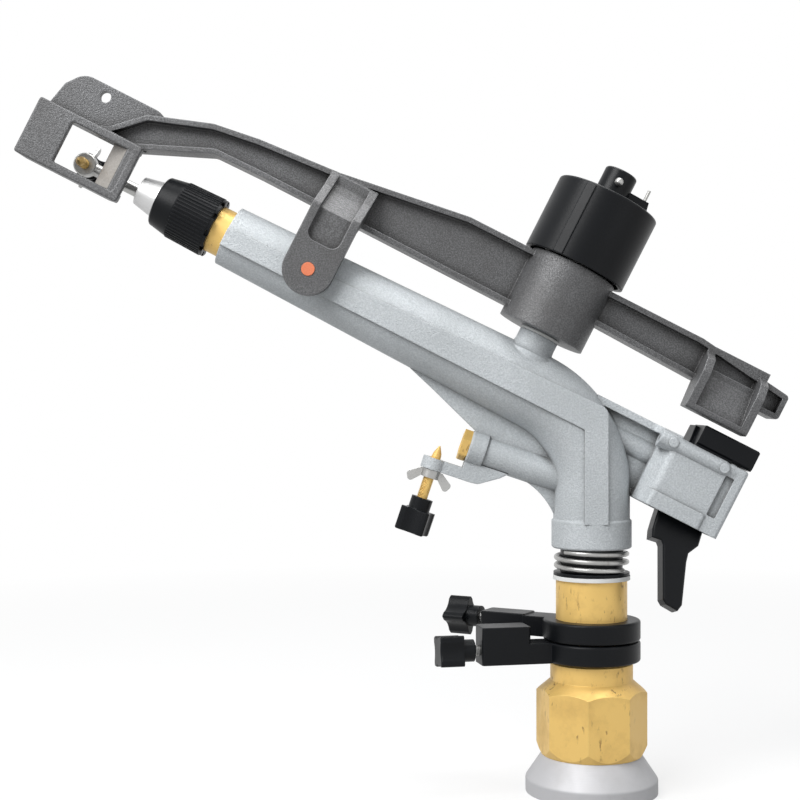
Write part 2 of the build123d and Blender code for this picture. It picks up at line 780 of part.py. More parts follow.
# Gun casting: column, elbow and barrel round one waterway
bend_foot = elbow_z - bend_reach
bend_axis = Axis((-elbow_bend_r, 0, bend_foot), (0, -1, 0))
post_root = waterway_r + 1
with BuildPart() as gun_casting:
    with BuildSketch(Plane.XZ):
        with BuildLine():
            Polyline(
                (0, casting_foot),
                (casting_collar_r - 0.8, casting_foot),
                (casting_collar_r, casting_foot + 0.8),
                (casting_collar_r, collar_z - 1),
                (column_r, collar_z),
                (column_r, bend_foot),
                (0, bend_foot),
                close=True,
            )
        make_face()
    revolve(axis=Axis.Z)
    with BuildSketch(Plane.XY.offset(bend_foot)):
        Circle(column_r)
    revolve(axis=bend_axis, revolution_arc=90 - barrel_rise)
    with BuildSketch(across(bend_reach)):
        Circle(column_r)
    with BuildSketch(across(barrel_len)):
        Circle(muzzle_r)
    loft()
    add(flank_band.part)
    with BuildSketch(side()):
        with BuildLine():
            Polyline(
                (arm_at, post_root),
                (arm_at + post_foot_r, post_root),
                (arm_at + post_foot_r, post_foot_top),
            )
            Bezier(
                (arm_at + post_foot_r, post_foot_top),
                (arm_at + post_r, post_foot_top + 1),
                (arm_at + post_r, post_foot_top + 6),
            )
            Polyline(
                (arm_at + post_r, post_foot_top + 6),
                (arm_at + post_r, post_top),
                (arm_at, post_top),
                (arm_at, post_root),
            )
        make_face()
    revolve(axis=Axis(spot(arm_at), barrel_up))
    add(branch.part)
    with BuildSketch(side()):
        with BuildLine():
            Polyline(
                (104, -15),
                (102.1, -19.5),
                (86.1, -24.1),
                branch_point(branch_len - 0.5, branch_collar_r - 0.3),
                branch_point(branch_len - 0.7, 0),
                (0, -35),
                (10, -15),
                close=True,
            )
        make_face()
    extrude(amount=gusset_t / 2, both=True)
    with BuildSketch(side()):
        with BuildLine():
            Polyline((-5.2, -55.5), (-14.8, -51), (0, -38), (32, -44), (29.3, -47.2))
            ThreePointArc((29.3, -47.2), (5, -49.3), (-5.2, -55.5))
        make_face()
    extrude(amount=gusset_t / 2, both=True)
    with BuildSketch(side()):
        with BuildLine():
            Polyline(
                (0, housing_top - 1),
                (-housing_start - 2, housing_top - 1),
                (-housing_start - 2, housing_low + 6),
                (-neck_start, housing_low + 4),
                (-5, neck_low),
                close=True,
            )
        make_face()
    extrude(amount=neck_web_t / 2, both=True)
    with BuildSketch(level(rail_top - rail_t, 0)):
        with BuildLine():
            Polyline(
                (4, rail_half),
                (-31, rail_half + 2),
                (-housing_start - 2, housing_half - 1),
                (-housing_start - 2, 1 - housing_half),
                (-31, -rail_half - 2),
                (4, -rail_half),
                close=True,
            )
        make_face()
    extrude(amount=rail_t)
    with BuildSketch(across(-housing_start - 1)):
        with Locations((0, link_boss_v)):
            Circle(link_boss_r)
    extrude(amount=housing_start - 12)
    add(housing.part)
    with BuildSketch(level(rod_boss_low, rod_screw_at)):
        with Locations((0, -rod_at)):
            Circle(rod_boss_r)
        with Locations((0, -rod_at / 2)):
            Rectangle(2 * rod_boss_r - 2, rod_at)
    extrude(amount=rod_boss_top - rod_boss_low)
    with BuildSketch(Plane.XY.offset(casting_foot)):
        Circle(waterway_r)
    extrude(amount=bend_foot - casting_foot, mode=Mode.SUBTRACT)
    with BuildSketch(Plane.XY.offset(bend_foot)):
        Circle(waterway_r)
    revolve(axis=bend_axis, revolution_arc=90 - barrel_rise, mode=Mode.SUBTRACT)
    with BuildSketch(across(bend_reach)):
        Circle(waterway_r)
    extrude(amount=barrel_len - bend_reach, mode=Mode.SUBTRACT)
    with BuildSketch(Plane.XY.offset(casting_foot)):
        Circle(spindle_r + running)
    extrude(amount=spindle_thread_len, mode=Mode.SUBTRACT)
    with BuildSketch(across(barrel_len - seat_insert)):
        Circle(seat_r + running)
    extrude(amount=seat_insert, mode=Mode.SUBTRACT)
    with BuildSketch(level(shaft_depth, arm_at)):
        Circle(shaft_r + running)
    extrude(amount=post_top - shaft_depth, mode=Mode.SUBTRACT)
    with BuildSketch(branch_across(waterway_r - 2)):
        Circle(branch_bore_r)
    extrude(amount=branch_len - waterway_r + 2, mode=Mode.SUBTRACT)
    with BuildSketch(branch_across(branch_len - branch_thread_len)):
        Circle(branch_thread_r + running)
    extrude(amount=branch_thread_len, mode=Mode.SUBTRACT)
    with BuildSketch(branch_level(branch_end_t, bracket_eye_at)):
        Circle(breaker_screw_r + running)
    extrude(amount=bracket_t, mode=Mode.SUBTRACT)
    with BuildSketch(across(rod_root_at)):
        with Locations((-rod_at, 0)):
            Circle(rod_r + running)
    extrude(amount=2 * rod_boss_r, mode=Mode.SUBTRACT)
    with BuildSketch(level(0, rod_screw_at)):
        with Locations((0, -rod_at)):
            Circle(rod_screw_r + running)
    extrude(amount=rod_boss_top, mode=Mode.SUBTRACT)
    with BuildSketch(across(-anvil_slot_end - anvil_pin_seat)):
        with Locations((-anvil_pin_w, anvil_pin_v)):
            Circle(hinge_pin_r + running)
    extrude(amount=anvil_slot_end + anvil_pin_seat - anvil_boss_start, mode=Mode.SUBTRACT)
    with BuildSketch(across(-cavity_end - trip_pin_seat)):
        with Locations((0, trip_pin_v)):
            Circle(hinge_pin_r + running)
    extrude(amount=cavity_end - cavity_start + 2 * trip_pin_seat, mode=Mode.SUBTRACT)
keep(gun_casting.part, "gun_casting")


# A turned piece: half its section in the plane through an axis, radii first
def turned(plane, points):
    with BuildPart() as solid:
        with BuildSketch(Plane.XZ):
            with BuildLine():
                Polyline(*points, close=True)
            make_face()
        revolve(axis=Axis.Z)
    return plane * solid.part


def barrel_plane(along):
    return Plane(origin=spot(along), x_dir=barrel_up, z_dir=barrel_dir)


def shaft_plane(up):
    return Plane(origin=spot(arm_at, up), x_dir=barrel_dir, z_dir=barrel_up)


# Nozzle: seat in the muzzle, cap screwed over it, tip held by its flange inside the cap
seat_len = seat_insert + seat_front
seat_points = [
    (waterway_r, 0),
    (seat_r, 0),
    (seat_r, seat_len - 1),
    (seat_r - 1, seat_len),
    (seat_bore_r, seat_len),
    (seat_bore_r, seat_len - 12),
]
keep(turned(barrel_plane(barrel_len - seat_insert), seat_points), "nozzle_seat")

cap_len = cap_body_len + cap_nose_len
cap_bore_r = seat_r + running
cap_hole_r = tip_body_r + turning_gap
cap_points = [
    (cap_bore_r, 0),
    (cap_rear_r, 0),
    (cap_rear_r, 2.5),
    (cap_shoulder_r, cap_body_len),
    (cap_front_r + 0.6, cap_len - 0.8),
    (cap_front_r - 0.2, cap_len),
    (cap_hole_r, cap_len),
    (cap_hole_r, cap_len - cap_lip_t),
    (cap_bore_r, cap_len - cap_lip_t - 1.5),
]
with BuildPart() as nozzle_cap:
    add(turned(Plane.XY, cap_points))
    with BuildSketch(Plane.XY):
        with PolarLocations(cap_rear_r, cap_notches):
            Rectangle(cap_rear_r - cap_bore_r + 2, cap_notch_w)
    extrude(amount=cap_notch_depth, mode=Mode.SUBTRACT)
keep(barrel_plane(barrel_len + cap_gap) * nozzle_cap.part, "nozzle_cap")

tip_foot_at = barrel_len + seat_front + seat_gap
tip_shoulder = barrel_len + cap_gap + cap_len - tip_foot_at
tip_len = tip_shoulder + tip_nose_len
tip_flange_r = cap_bore_r - turning_gap
tip_points = [
    (seat_bore_r, 0),
    (tip_flange_r, 0),
    (tip_flange_r, tip_flange_t),
    (tip_body_r, tip_flange_t),
    (tip_body_r, tip_shoulder),
    (tip_shoulder_r, tip_shoulder + 0.8),
    (tip_front_r, tip_len),
    (jet_r, tip_len),
    (jet_r, tip_len - 6),
]
keep(turned(barrel_plane(tip_foot_at), tip_points), "nozzle_tip")

# Stream straightener: a thin tube with crossed blades
with BuildPart() as flow_vanes:
    with BuildSketch(barrel_plane(vane_tube_at)):
        Circle(waterway_r - running)
        Circle(waterway_r - running - vane_tube_t, mode=Mode.SUBTRACT)
        with PolarLocations(0, 2, angular_range=180):
            Rectangle(2 * waterway_r - vane_tube_t, vane_blade_t)
    extrude(amount=vane_tube_len)
keep(flow_vanes.part, "flow_vanes")

# Nozzle of the branch tube: a hexagon with a threaded spigot
with BuildPart() as secondary_nozzle:
    with BuildSketch(branch_across(branch_len)):
        RegularPolygon(branch_hex_af / 2, 6, major_radius=False, rotation=20)
    extrude(amount=branch_hex_len)
    chamfer(secondary_nozzle.faces().sort_by(Axis.X)[0].edges(), 0.7)
    with BuildSketch(branch_across(branch_len - branch_thread_len + 0.5)):
        Circle(branch_thread_r)
    extrude(amount=branch_thread_len - 0.5)
    with BuildSketch(branch_across(branch_len - branch_thread_len)):
        Circle(branch_jet_r)
    extrude(amount=branch_thread_len + branch_hex_len, mode=Mode.SUBTRACT)
    with BuildSketch(branch_across(branch_len + branch_hex_len)):
        Circle(branch_jet_r + 2)
    extrude(amount=-1.5, taper=45, mode=Mode.SUBTRACT)
keep(secondary_nozzle.part, "secondary_nozzle")

# Lower breaker screw: up through the eye of the strap, wing nut and knob below it
lower_tip = branch_level(lower_screw_rise - bracket_drop, bracket_eye_at).origin
lower_plane = Plane(origin=lower_tip, x_dir=branch_dir, z_dir=-branch_up)
lower_pin_len = lower_screw_rise + bracket_t + lower_screw_out + knob_grip
keep(pointed_screw(lower_plane, lower_pin_len, breaker_screw_r, breaker_point_len), "lower_breaker_pin")
lower_knob = thumb_knob(lower_plane * Rot(0, 0, 15), lower_pin_len, breaker_screw_r)
keep(lower_knob, "lower_breaker_knob")
lower_nut_foot = lower_screw_rise + bracket_t + seat_gap
keep(wing_nut(lower_plane * Rot(0, 0, 12), lower_nut_foot, breaker_screw_r), "lower_wing_nut")

# Front breaker screw: across the jet, carried by a rod clamped beside the muzzle
eye_at = barrel_len + rod_front
eye_near = rod_at - rod_eye_t / 2
with BuildPart() as breaker_rod:
    with BuildSketch(side(eye_near)):
        with Locations((eye_at, 0)):
            Circle(rod_eye_r)
    extrude(amount=rod_eye_t)
    chamfer(breaker_rod.edges().filter_by(GeomType.CIRCLE), 0.6)
    with BuildSketch(across(rod_root_at + seat_gap)):
        with Locations((-rod_at, 0)):
            Circle(rod_r)
    extrude(amount=eye_at - rod_root_at - seat_gap)
    with BuildSketch(side(eye_near)):
        with Locations((eye_at, 0)):
            Circle(breaker_screw_r + running)
    extrude(amount=rod_eye_t, mode=Mode.SUBTRACT)
keep(breaker_rod.part, "breaker_rod")

front_plane = Plane(origin=spot(eye_at, 0, front_screw_tip), x_dir=barrel_dir, z_dir=(0, 1, 0))
eye_reach = eye_near - front_screw_tip
front_pin_len = eye_reach + rod_eye_t + front_screw_out + knob_grip
keep(pointed_screw(front_plane, front_pin_len, breaker_screw_r, breaker_point_len), "front_breaker_pin")
keep(thumb_knob(front_plane, front_pin_len, breaker_screw_r), "front_breaker_knob")
front_nut_foot = eye_reach + rod_eye_t + seat_gap
front_nut_plane = front_plane * Rot(0, 0, 90)
keep(wing_nut(front_nut_plane, front_nut_foot, breaker_screw_r), "front_wing_nut")

# Set screw that clamps the rod in its boss
rod_screw_plane = Plane(origin=spot(rod_screw_at, rod_r + seat_gap, rod_at), z_dir=barrel_up)
rod_shank = rod_boss_top - rod_r
with BuildPart() as rod_screw:
    with BuildSketch(rod_screw_plane):
        Circle(rod_screw_r)
    extrude(amount=rod_shank)
    with BuildSketch(rod_screw_plane.offset(rod_shank)):
        RegularPolygon(rod_screw_head_r, 6)
    extrude(amount=rod_screw_head_h)
    chamfer(rod_screw.faces().sort_by(Axis.Z)[-1].edges(), 0.5)
keep(rod_screw.part, "rod_screw")

# Rocker shaft with the pieces stacked on it
shaft_points = [
    (0, 0),
    (shaft_r - 1, 0),
    (shaft_r, 1),
    (shaft_r, shaft_top - shaft_depth - 2),
    (shaft_r - 1, shaft_top - shaft_depth - 1),
    (0, shaft_top - shaft_depth - 1),
]
with BuildPart() as arm_shaft:
    add(turned(shaft_plane(shaft_depth + 0.5), shaft_points))
    with BuildSketch(side(-cap_hub_r)):
        with Locations((arm_at, split_pin_at)):
            Circle(split_pin_r + running)
    extrude(amount=2 * cap_hub_r, mode=Mode.SUBTRACT)
keep(arm_shaft.part, "arm_shaft")

with BuildPart() as thrust_washer:
    with BuildSketch(shaft_plane(post_top + seat_gap)):
        Circle(post_r)
        Circle(shaft_r + running, mode=Mode.SUBTRACT)
    extrude(amount=boss_foot - post_top - seat_gap - turning_gap)
keep(thrust_washer.part, "thrust_washer")


def bush(plane):
    points = [
        (shaft_r + running, 0),
        (bush_flange_r, 0),
        (bush_flange_r, bush_flange_t),
        (bush_r, bush_flange_t),
        (bush_r, bush_len),
        (shaft_r + running, bush_len),
    ]
    return turned(plane, points)


keep(bush(shaft_plane(boss_foot)), "lower_bush")
upper_bush_plane = Plane(origin=spot(arm_at, boss_top), x_dir=barrel_dir, z_dir=-barrel_up)
keep(bush(upper_bush_plane), "upper_bush")

# Spring cap: an open drum with a hub that is pinned to the shaft
drum_roof = cap_drum_top - cap_roof_t
wire_hole_at = arm_at - arm_spring_r
with BuildPart() as spring_cap:
    with BuildSketch(shaft_plane(cap_drum_foot)):
        Circle(cap_drum_r)
    extrude(amount=cap_drum_top - cap_drum_foot)
    top_edge = spring_cap.edges().filter_by(GeomType.CIRCLE).sort_by(Axis(spot(0), barrel_up))[-1]
    fillet(top_edge, 1.5)
    with BuildSketch(shaft_plane(cap_drum_foot) * Rot(0, 0, cap_stripe_turn)):
        with Locations((cap_drum_r - 1, 0)):
            Rectangle(3, cap_stripe_w)
    extrude(amount=cap_drum_top - cap_drum_foot - 1.5)
    with BuildSketch(shaft_plane(cap_drum_foot)):
        Circle(cap_drum_r - cap_drum_wall)
    extrude(amount=drum_roof - cap_drum_foot, mode=Mode.SUBTRACT)
    with BuildSketch(shaft_plane(drum_roof - 4)):
        Circle(cap_hub_r)
    extrude(amount=cap_hub_top - drum_roof + 4)
    hub_edge = spring_cap.edges().filter_by(GeomType.CIRCLE).sort_by(Axis(spot(0), barrel_up))[-1]
    fillet(hub_edge, 1.5)
    with BuildSketch(side()):
        with BuildLine():
            Polyline(
                (arm_at - cap_hub_r + 1, cap_drum_top - 0.5),
                (arm_at - cap_hub_r + 1, cap_rib_top),
                (arm_at - cap_rib_len, cap_rib_top - 0.5),
                (arm_at - cap_rib_len - 1.5, cap_drum_top - 0.5),
                close=True,
            )
        make_face()
    extrude(amount=cap_rib_w / 2, both=True)
    with BuildSketch(shaft_plane(drum_roof - 5)):
        Circle(shaft_r + running)
    extrude(amount=shaft_top - drum_roof + 5, mode=Mode.SUBTRACT)
    with BuildSketch(level(drum_roof - 1, wire_hole_at)):
        Circle(arm_wire_r + seat_gap)
    extrude(amount=cap_rib_top - drum_roof + 2, mode=Mode.SUBTRACT)
    with BuildSketch(side(-cap_hub_r)):
        with Locations((arm_at, split_pin_at)):
            Circle(split_pin_r + running)
    extrude(amount=2 * cap_hub_r, mode=Mode.SUBTRACT)
keep(spring_cap.part, "spring_cap")

# Torsion spring round the shaft, its upper end standing up through the cap
arm_coil_foot = boss_top + seat_gap + arm_wire_r
arm_coil_h = drum_roof - arm_coil_foot - arm_spring_room
with BuildPart() as torsion_spring:
    spring_plane = Plane(origin=spot(arm_at, arm_coil_foot), x_dir=-barrel_dir, z_dir=barrel_up)
    add(coil(spring_plane, arm_spring_r, arm_wire_r, arm_coil_h, arm_spring_turns))
    with BuildSketch(level(arm_coil_foot + arm_coil_h, wire_hole_at)):
        Circle(arm_wire_r)
    extrude(amount=arm_wire_top - arm_coil_foot - arm_coil_h)
    with Locations(spot(wire_hole_at, arm_coil_foot + arm_coil_h)):
        Sphere(arm_wire_r)
keep(torsion_spring.part, "torsion_spring")

# Split pin through hub and shaft: a ball head on the near side, spread legs on the far side
with BuildPart() as split_pin:
    with BuildSketch(side(-cap_hub_r - 1)):
        with Locations((arm_at, split_pin_at)):
            Circle(split_pin_r)
    extrude(amount=2 * cap_hub_r + 1 + split_pin_tail)
    with Locations(spot(arm_at, split_pin_at, -cap_hub_r - split_ball_r - seat_gap)):
        Sphere(split_ball_r)
keep(split_pin.part, "split_pin")

# Rocker arm: an I-section beam on a boss, with the vane box in front and the hook behind.
# The beams are drawn in the side plane, the lug and the hook across the barrel.
front_beam = [
    (arm_at, 68.3),
    (arm_at + 63.2, 68.3),
    (box_start - 100.2, 57.5),
    (box_start - 53.7, 54),
    (box_start - 27.5, 50.2),
    (box_start + 7.2, 38.0),
    (box_start + 22.8, 22.9),
    (box_start + 34.0, box_high - 2.0),
    (box_start + 6.0, box_high - 2.6),
    (box_start - 34.8, 35.7),
    (box_start - 62.8, 36.2),
    (box_start - 94.8, 36),
    (arm_at, 35),
]
tail_beam = [
    (arm_at, 67),
    (-33, 67),
    (-60, 63.5),
    (-89, 59.9),
    (-89, 45.4),
    (-38, 45.2),
    (arm_at, 47.6),
]


# One beam: a solid outline with a pocket in each flank that leaves the rim and the web.
# Its corners are rounded up to the box, and stay sharp where they lie inside it.
def i_beam(points, corner_r):
    with BuildPart() as beam:
        with BuildSketch(side()) as rim:
            with BuildLine():
                Polyline(*points, close=True)
            make_face()
            fillet(rim.vertices().filter_by(lambda corner: corner.X < box_start + 10), corner_r)
        extrude(amount=flange_w / 2, both=True)
        for flank in (web_t / 2, -flange_w / 2):
            with BuildSketch(side(flank)) as pocket:
                add(rim.sketch_local)
                offset(amount=-flange_t, mode=Mode.REPLACE)
            extrude(amount=(flange_w - web_t) / 2, mode=Mode.SUBTRACT)
    return beam.part


# Lug that hangs down the near flank and stops against the barrel. Its pocket has round lower corners.
lug_start = lug_at - lug_r
lug_foot = lug_drop - lug_r
lug_pocket_w = 2 * (lug_r - rib_w)
lug_pocket_top = 62.0
with BuildPart() as lug_pocket:
    with BuildSketch(across(lug_start + rib_w)):
        with BuildLine():
            Polyline(
                (lug_near + 4, lug_pocket_low),
                (lug_near - lug_recess, lug_pocket_low),
                (lug_near - lug_recess, 35),
                (12.5, 46.5),
                (9.6, 51),
                (9.6, lug_pocket_top),
                (lug_near + 4, lug_pocket_top),
                close=True,
            )
        make_face()
    extrude(amount=lug_pocket_w)
    with BuildSketch(side(-lug_near - 4)) as mouth:
        with Locations((lug_at, (lug_pocket_low + lug_pocket_top) / 2 + lug_pocket_r)):
            Rectangle(lug_pocket_w, lug_pocket_top - lug_pocket_low + 2 * lug_pocket_r)
        fillet(mouth.vertices(), lug_pocket_r)
    extrude(amount=lug_near + 4, mode=Mode.INTERSECT)

with BuildPart() as lug:
    with BuildSketch(across(lug_start)) as profile:
        with BuildLine():
            Polyline(
                (web_t / 2, 57),
                (flange_w / 2, 57),
                (15, 48),
                (lug_near, 36),
                (lug_near, lug_foot - 1),
                (lug_far, lug_foot - 1),
                (lug_far, 31),
                (flange_w / 2, 38),
                (web_t / 2, 38),
                close=True,
            )
        make_face()
        outer_corners = profile.vertices().filter_by(lambda corner: corner.X > flange_w / 2 and corner.Y > 32)
        fillet(outer_corners, 3)
    extrude(amount=2 * lug_r)
    add(lug_pocket.part, mode=Mode.SUBTRACT)
    with BuildSketch(side(-lug_near)):
        with Locations((lug_at, lug_drop)):
            Circle(lug_r)
        with Locations((lug_at, lug_drop + 30)):
            Rectangle(2 * lug_r, 60)
    extrude(amount=lug_near, mode=Mode.INTERSECT)
    with BuildSketch(side(-lug_near)):
        with Locations((lug_at, lug_drop)):
            Circle(bumper_r + running)
    extrude(amount=lug_near, mode=Mode.SUBTRACT)

# Hook under the tail: a hollow cup whose near wall is a recessed panel between two ribs
with BuildPart() as hook:
    with BuildSketch(across(-hook_end)) as profile:
        with BuildLine():
            Polyline(
                (web_t / 2, 66),
                (flange_w / 2, 66),
                (flange_w / 2, 62),
                (19, 58),
                (hook_near, 50),
                (hook_near, hook_low),
                (hook_far, hook_low),
                (web_t / 2, 46),
                close=True,
            )
        make_face()
        fillet(profile.vertices().sort_by(Axis.Y)[:2], 2)
    extrude(amount=hook_end - hook_start)
    with BuildSketch(across(-hook_end + rib_w)):
        with BuildLine():
            Polyline(
                (hook_near + 4, hook_low + 3.4),
                (hook_near - 2.6, hook_low + 3.4),
                (hook_near - 3.6, 36),
                (12, 50.5),
                (12, 62.5),
                (hook_near + 4, 62.5),
                close=True,
            )
        make_face()
    extrude(amount=hook_end - hook_start - 2 * rib_w, mode=Mode.SUBTRACT)
    with BuildSketch(across(-hook_end + rib_w)):
        with BuildLine():
            Polyline(
                (web_t / 2, 48),
                (web_t / 2, 62.5),
                (13, 62.5),
                (13, 54),
                (7, 54),
                (7, 48),
                close=True,
            )
        make_face()
    extrude(amount=hook_end - hook_start - 2 * rib_w, mode=Mode.SUBTRACT)

# Vane box: near plate with a window, two rails and the slanting vane between them
box_middle = (box_low + box_high) / 2
vane_tip_at = box_start + vane_tip_in
with BuildPart() as vane_box:
    with BuildSketch(side(-box_near)) as outer:
        with BuildLine():
            Polyline(
                (box_start, box_low),
                (box_end, box_low),
                (box_end, box_high),
                (box_start, box_high),
                close=True,
            )
        make_face()
        fillet(outer.vertices(), 1.5)
    extrude(amount=box_near + box_far)
    with BuildSketch(side(-box_near + box_wall_t)):
        with Locations(((box_start + box_end) / 2, box_middle)):
            Rectangle(box_len + 2, box_high - box_low - 2 * box_rail_t)
    extrude(amount=box_near + box_far, mode=Mode.SUBTRACT)
    with BuildSketch(side(-box_near)) as window:
        with Locations((box_start + box_post + window_len / 2, box_middle)):
            Rectangle(window_len, box_high - box_low - 2 * box_rail_t)
        fillet(window.vertices(), 1.2)
    extrude(amount=box_wall_t, mode=Mode.SUBTRACT)
    fillet(vane_box.faces().sort_by(Axis.Y)[0].edges(), edge_round)
    with BuildSketch(level(box_low - 1, 0)):
        with BuildLine():
            Polyline(
                (box_start - 1, box_near - box_wall_t),
                (box_start - 1, -box_far - 1),
                (box_start + rail_bevel, -box_far - 1),
                close=True,
            )
        make_face()
    extrude(amount=box_high - box_low + 2, mode=Mode.SUBTRACT)
    with BuildSketch(level(box_low + 1, 0)):
        with BuildLine():
            Polyline(
                (box_start + box_post - 1, box_near - 0.2),
                (box_start + box_post + 2.6, box_near - 0.2),
                (vane_tip_at, vane_tip_near),
                (vane_tip_at - 2.6, vane_tip_near - 1),
                close=True,
            )
        make_face()
    extrude(amount=box_high - box_low - 2)

# Fin above the box
with BuildPart() as fin:
    with BuildSketch(side()) as face:
        with BuildLine():
            Polyline(
                (box_end - 2.4, box_high - 1),
                (box_end - 5.6, 33.8),
                (box_end - 13, fin_high),
                (box_start - 12.8, fin_high),
                (box_start + 0.2, box_high - 1),
                close=True,
            )
        make_face()
        fillet(face.vertices().sort_by(Axis.Y)[-2:], fin_round)
    extrude(amount=fin_t / 2, both=True)
    with BuildSketch(side(-fin_t)):
        with Locations((box_end - fin_hole_back, fin_hole_up)):
            Circle(fin_hole_r)
    extrude(amount=2 * fin_t, mode=Mode.SUBTRACT)

with BuildPart() as rocker_arm:
    add(i_beam(front_beam, 7))
    add(i_beam(tail_beam, 2.2))
    add(fin.part)
    add(vane_box.part)
    with BuildSketch(shaft_plane(boss_foot)) as boss:
        Circle(boss_r)
    extrude(amount=boss_top - boss_foot)
    add(lug.part)
    add(hook.part)
    with BuildSketch(shaft_plane(boss_foot)):
        Circle(bush_r + running)
    extrude(amount=boss_top - boss_foot, mode=Mode.SUBTRACT)
    for seat_z in (boss_foot, boss_top - bush_flange_t):
        with BuildSketch(shaft_plane(seat_z)):
            Circle(bush_flange_r + running)
        extrude(amount=bush_flange_t, mode=Mode.SUBTRACT)
keep(rocker_arm.part, "rocker_arm")

# Rubber plug in the lug, just off the barrel's band
bumper_gap_at = muzzle_up + (bend_up - muzzle_up) * (barrel_len - lug_at) / (barrel_len - bend_reach)
with BuildPart() as bumper:
    with BuildSketch(side(-bumper_gap_at - turning_gap)):
        with Locations((lug_at, lug_drop)):
            Circle(bumper_r)
    extrude(amount=bumper_gap_at + turning_gap - lug_near - 0.4)
keep(bumper.part, "bumper")

# Pins of the trip gear
trip_pin_start = cavity_end + trip_pin_seat - seat_gap
with BuildPart() as trip_pin:
    with BuildSketch(across(-trip_pin_start)):
        with Locations((0, trip_pin_v)):
            Circle(hinge_pin_r)
    extrude(amount=trip_pin_start - cavity_start + trip_pin_seat - seat_gap)
keep(trip_pin.part, "trip_pin")

anvil_pin_start = anvil_slot_end + anvil_pin_seat - seat_gap
with BuildPart() as anvil_pin:
    with BuildSketch(across(-anvil_pin_start)):
        with Locations((-anvil_pin_w, anvil_pin_v)):
            Circle(hinge_pin_r)
    extrude(amount=anvil_pin_start - anvil_boss_start)
keep(anvil_pin.part, "anvil_pin")

# Trip lever: hangs from its pin, its foot leaning to the near side
lever_start = cavity_start + 4
lever_end = cavity_end - 1
with BuildPart() as trip_lever:
    with BuildSketch(side()) as blade:
        with BuildLine():
            Polyline(
                (-lever_start, trip_pin_v + 3),
                (-53.4, -28.4),
                (-53.8, -32.7),
                (-54.7, -39.5),
                (-56.3, -44.1),
                (-61.7, -43.2),
                (-63.4, -45),
                (-75.4, -72),
                (-77.9, -73.7),
                (-85.2, -74.1),
                (-86.1, -70.1),
                (-79, -47.8),
                (-78.1, -42.9),
                (-81.4, -36.7),
                (-80.5, -28.7),
                (-lever_end, trip_pin_v + 3),
                close=True,
            )
        make_face()
    extrude(amount=trip_thick / 2, both=True)
    chamfer(trip_lever.faces().sort_by(Axis.Y)[0].edges(), lever_bevel)
    with BuildSketch(across(-lever_end)):
        with Locations((0, trip_pin_v)):
            Circle(trip_knuckle_r)
    extrude(amount=lever_end - lever_start)
    with BuildSketch(across(-lever_end)):
        with Locations((0, trip_pin_v)):
            Circle(hinge_pin_r + running)
    extrude(amount=lever_end - lever_start, mode=Mode.SUBTRACT)
trip_axis = Axis(spot(0, trip_pin_v), barrel_dir)
keep(trip_lever.part.rotate(trip_axis, lever_lean), "trip_lever")

# Anvil: a block over the housing, its knuckle and a short inner arm through the slot
block_foot = housing_top + 0.9
inner_end = anvil_boss_end - 8
inner_start = anvil_start + 8
with BuildPart() as anvil:
    with BuildSketch(across(-anvil_end)):
        with BuildLine():
            Polyline(
                (anvil_near - 1.5, block_foot),
                (anvil_near, block_foot + 1.5),
                (anvil_near, anvil_top),
                (-anvil_far, anvil_top),
                (-anvil_far, block_foot),
                close=True,
            )
        make_face()
    extrude(amount=anvil_end - anvil_start)
    chamfer(anvil.faces().sort_by(Axis(spot(0), barrel_up))[-1].edges(), 0.8)
    with BuildSketch(across(-anvil_start)):
        with BuildLine():
            Polyline(
                (6, block_foot),
                (2, anvil_top - 1.5),
                (-anvil_far, anvil_top - 1.5),
                (-anvil_far, block_foot),
                close=True,
            )
        make_face()
    extrude(amount=2)
    with BuildSketch(across(-anvil_slot_end + turning_gap)):
        with Locations((-anvil_pin_w, anvil_pin_v)):
            Circle(anvil_knuckle_r)
        with Locations((-anvil_pin_w - 0.6, (anvil_pin_v + block_foot + 1) / 2)):
            Rectangle(2 * anvil_knuckle_r - 2.2, block_foot + 1 - anvil_pin_v)
    extrude(amount=anvil_slot_end - anvil_start - turning_gap)
    with BuildSketch(across(-inner_end)):
        with BuildLine():
            Polyline(
                (16, 7),
                (11.5, 6.5),
                (3, 2.5),
                (-3, 2.5),
                (-3, -0.5),
                (5, -0.5),
                (14, 3),
                close=True,
            )
        make_face()
    extrude(amount=inner_end - inner_start)
    with BuildSketch(across(-anvil_slot_end)):
        with Locations((-anvil_pin_w, anvil_pin_v)):
            Circle(hinge_pin_r + running)
    extrude(amount=anvil_slot_end - anvil_slot_start, mode=Mode.SUBTRACT)
keep(anvil.part, "anvil")

# Toggle spring between the anvil's inner arm and the lever's knuckle
toggle_at = -(inner_start + inner_end) / 2
toggle_top = -0.5 - seat_gap - toggle_wire_r
toggle_foot = trip_pin_v + trip_knuckle_r + turning_gap + toggle_wire_r
toggle_plane = Plane(origin=spot(toggle_at, toggle_foot), x_dir=barrel_dir, z_dir=barrel_up)
toggle_spring = coil(toggle_plane, toggle_r, toggle_wire_r, toggle_top - toggle_foot, 5)
keep(toggle_spring, "toggle_spring")
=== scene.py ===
# %% [markdown]
# # A large impulse sprinkler, dressed in Blender
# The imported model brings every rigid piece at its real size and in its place. This lesson gives each
# piece its finish and adds what is too fine for the solids: screw threads, ribs on the nozzle cap,
# a smooth spring and the bare metal of the vane. Lengths are in metres, unless a cell says
# millimetres, +Z is up, and the near side, which the camera sees, is -Y.

# %% Load the frame
import json
import math
import bpy
import bmesh
from mathutils import Matrix, Vector


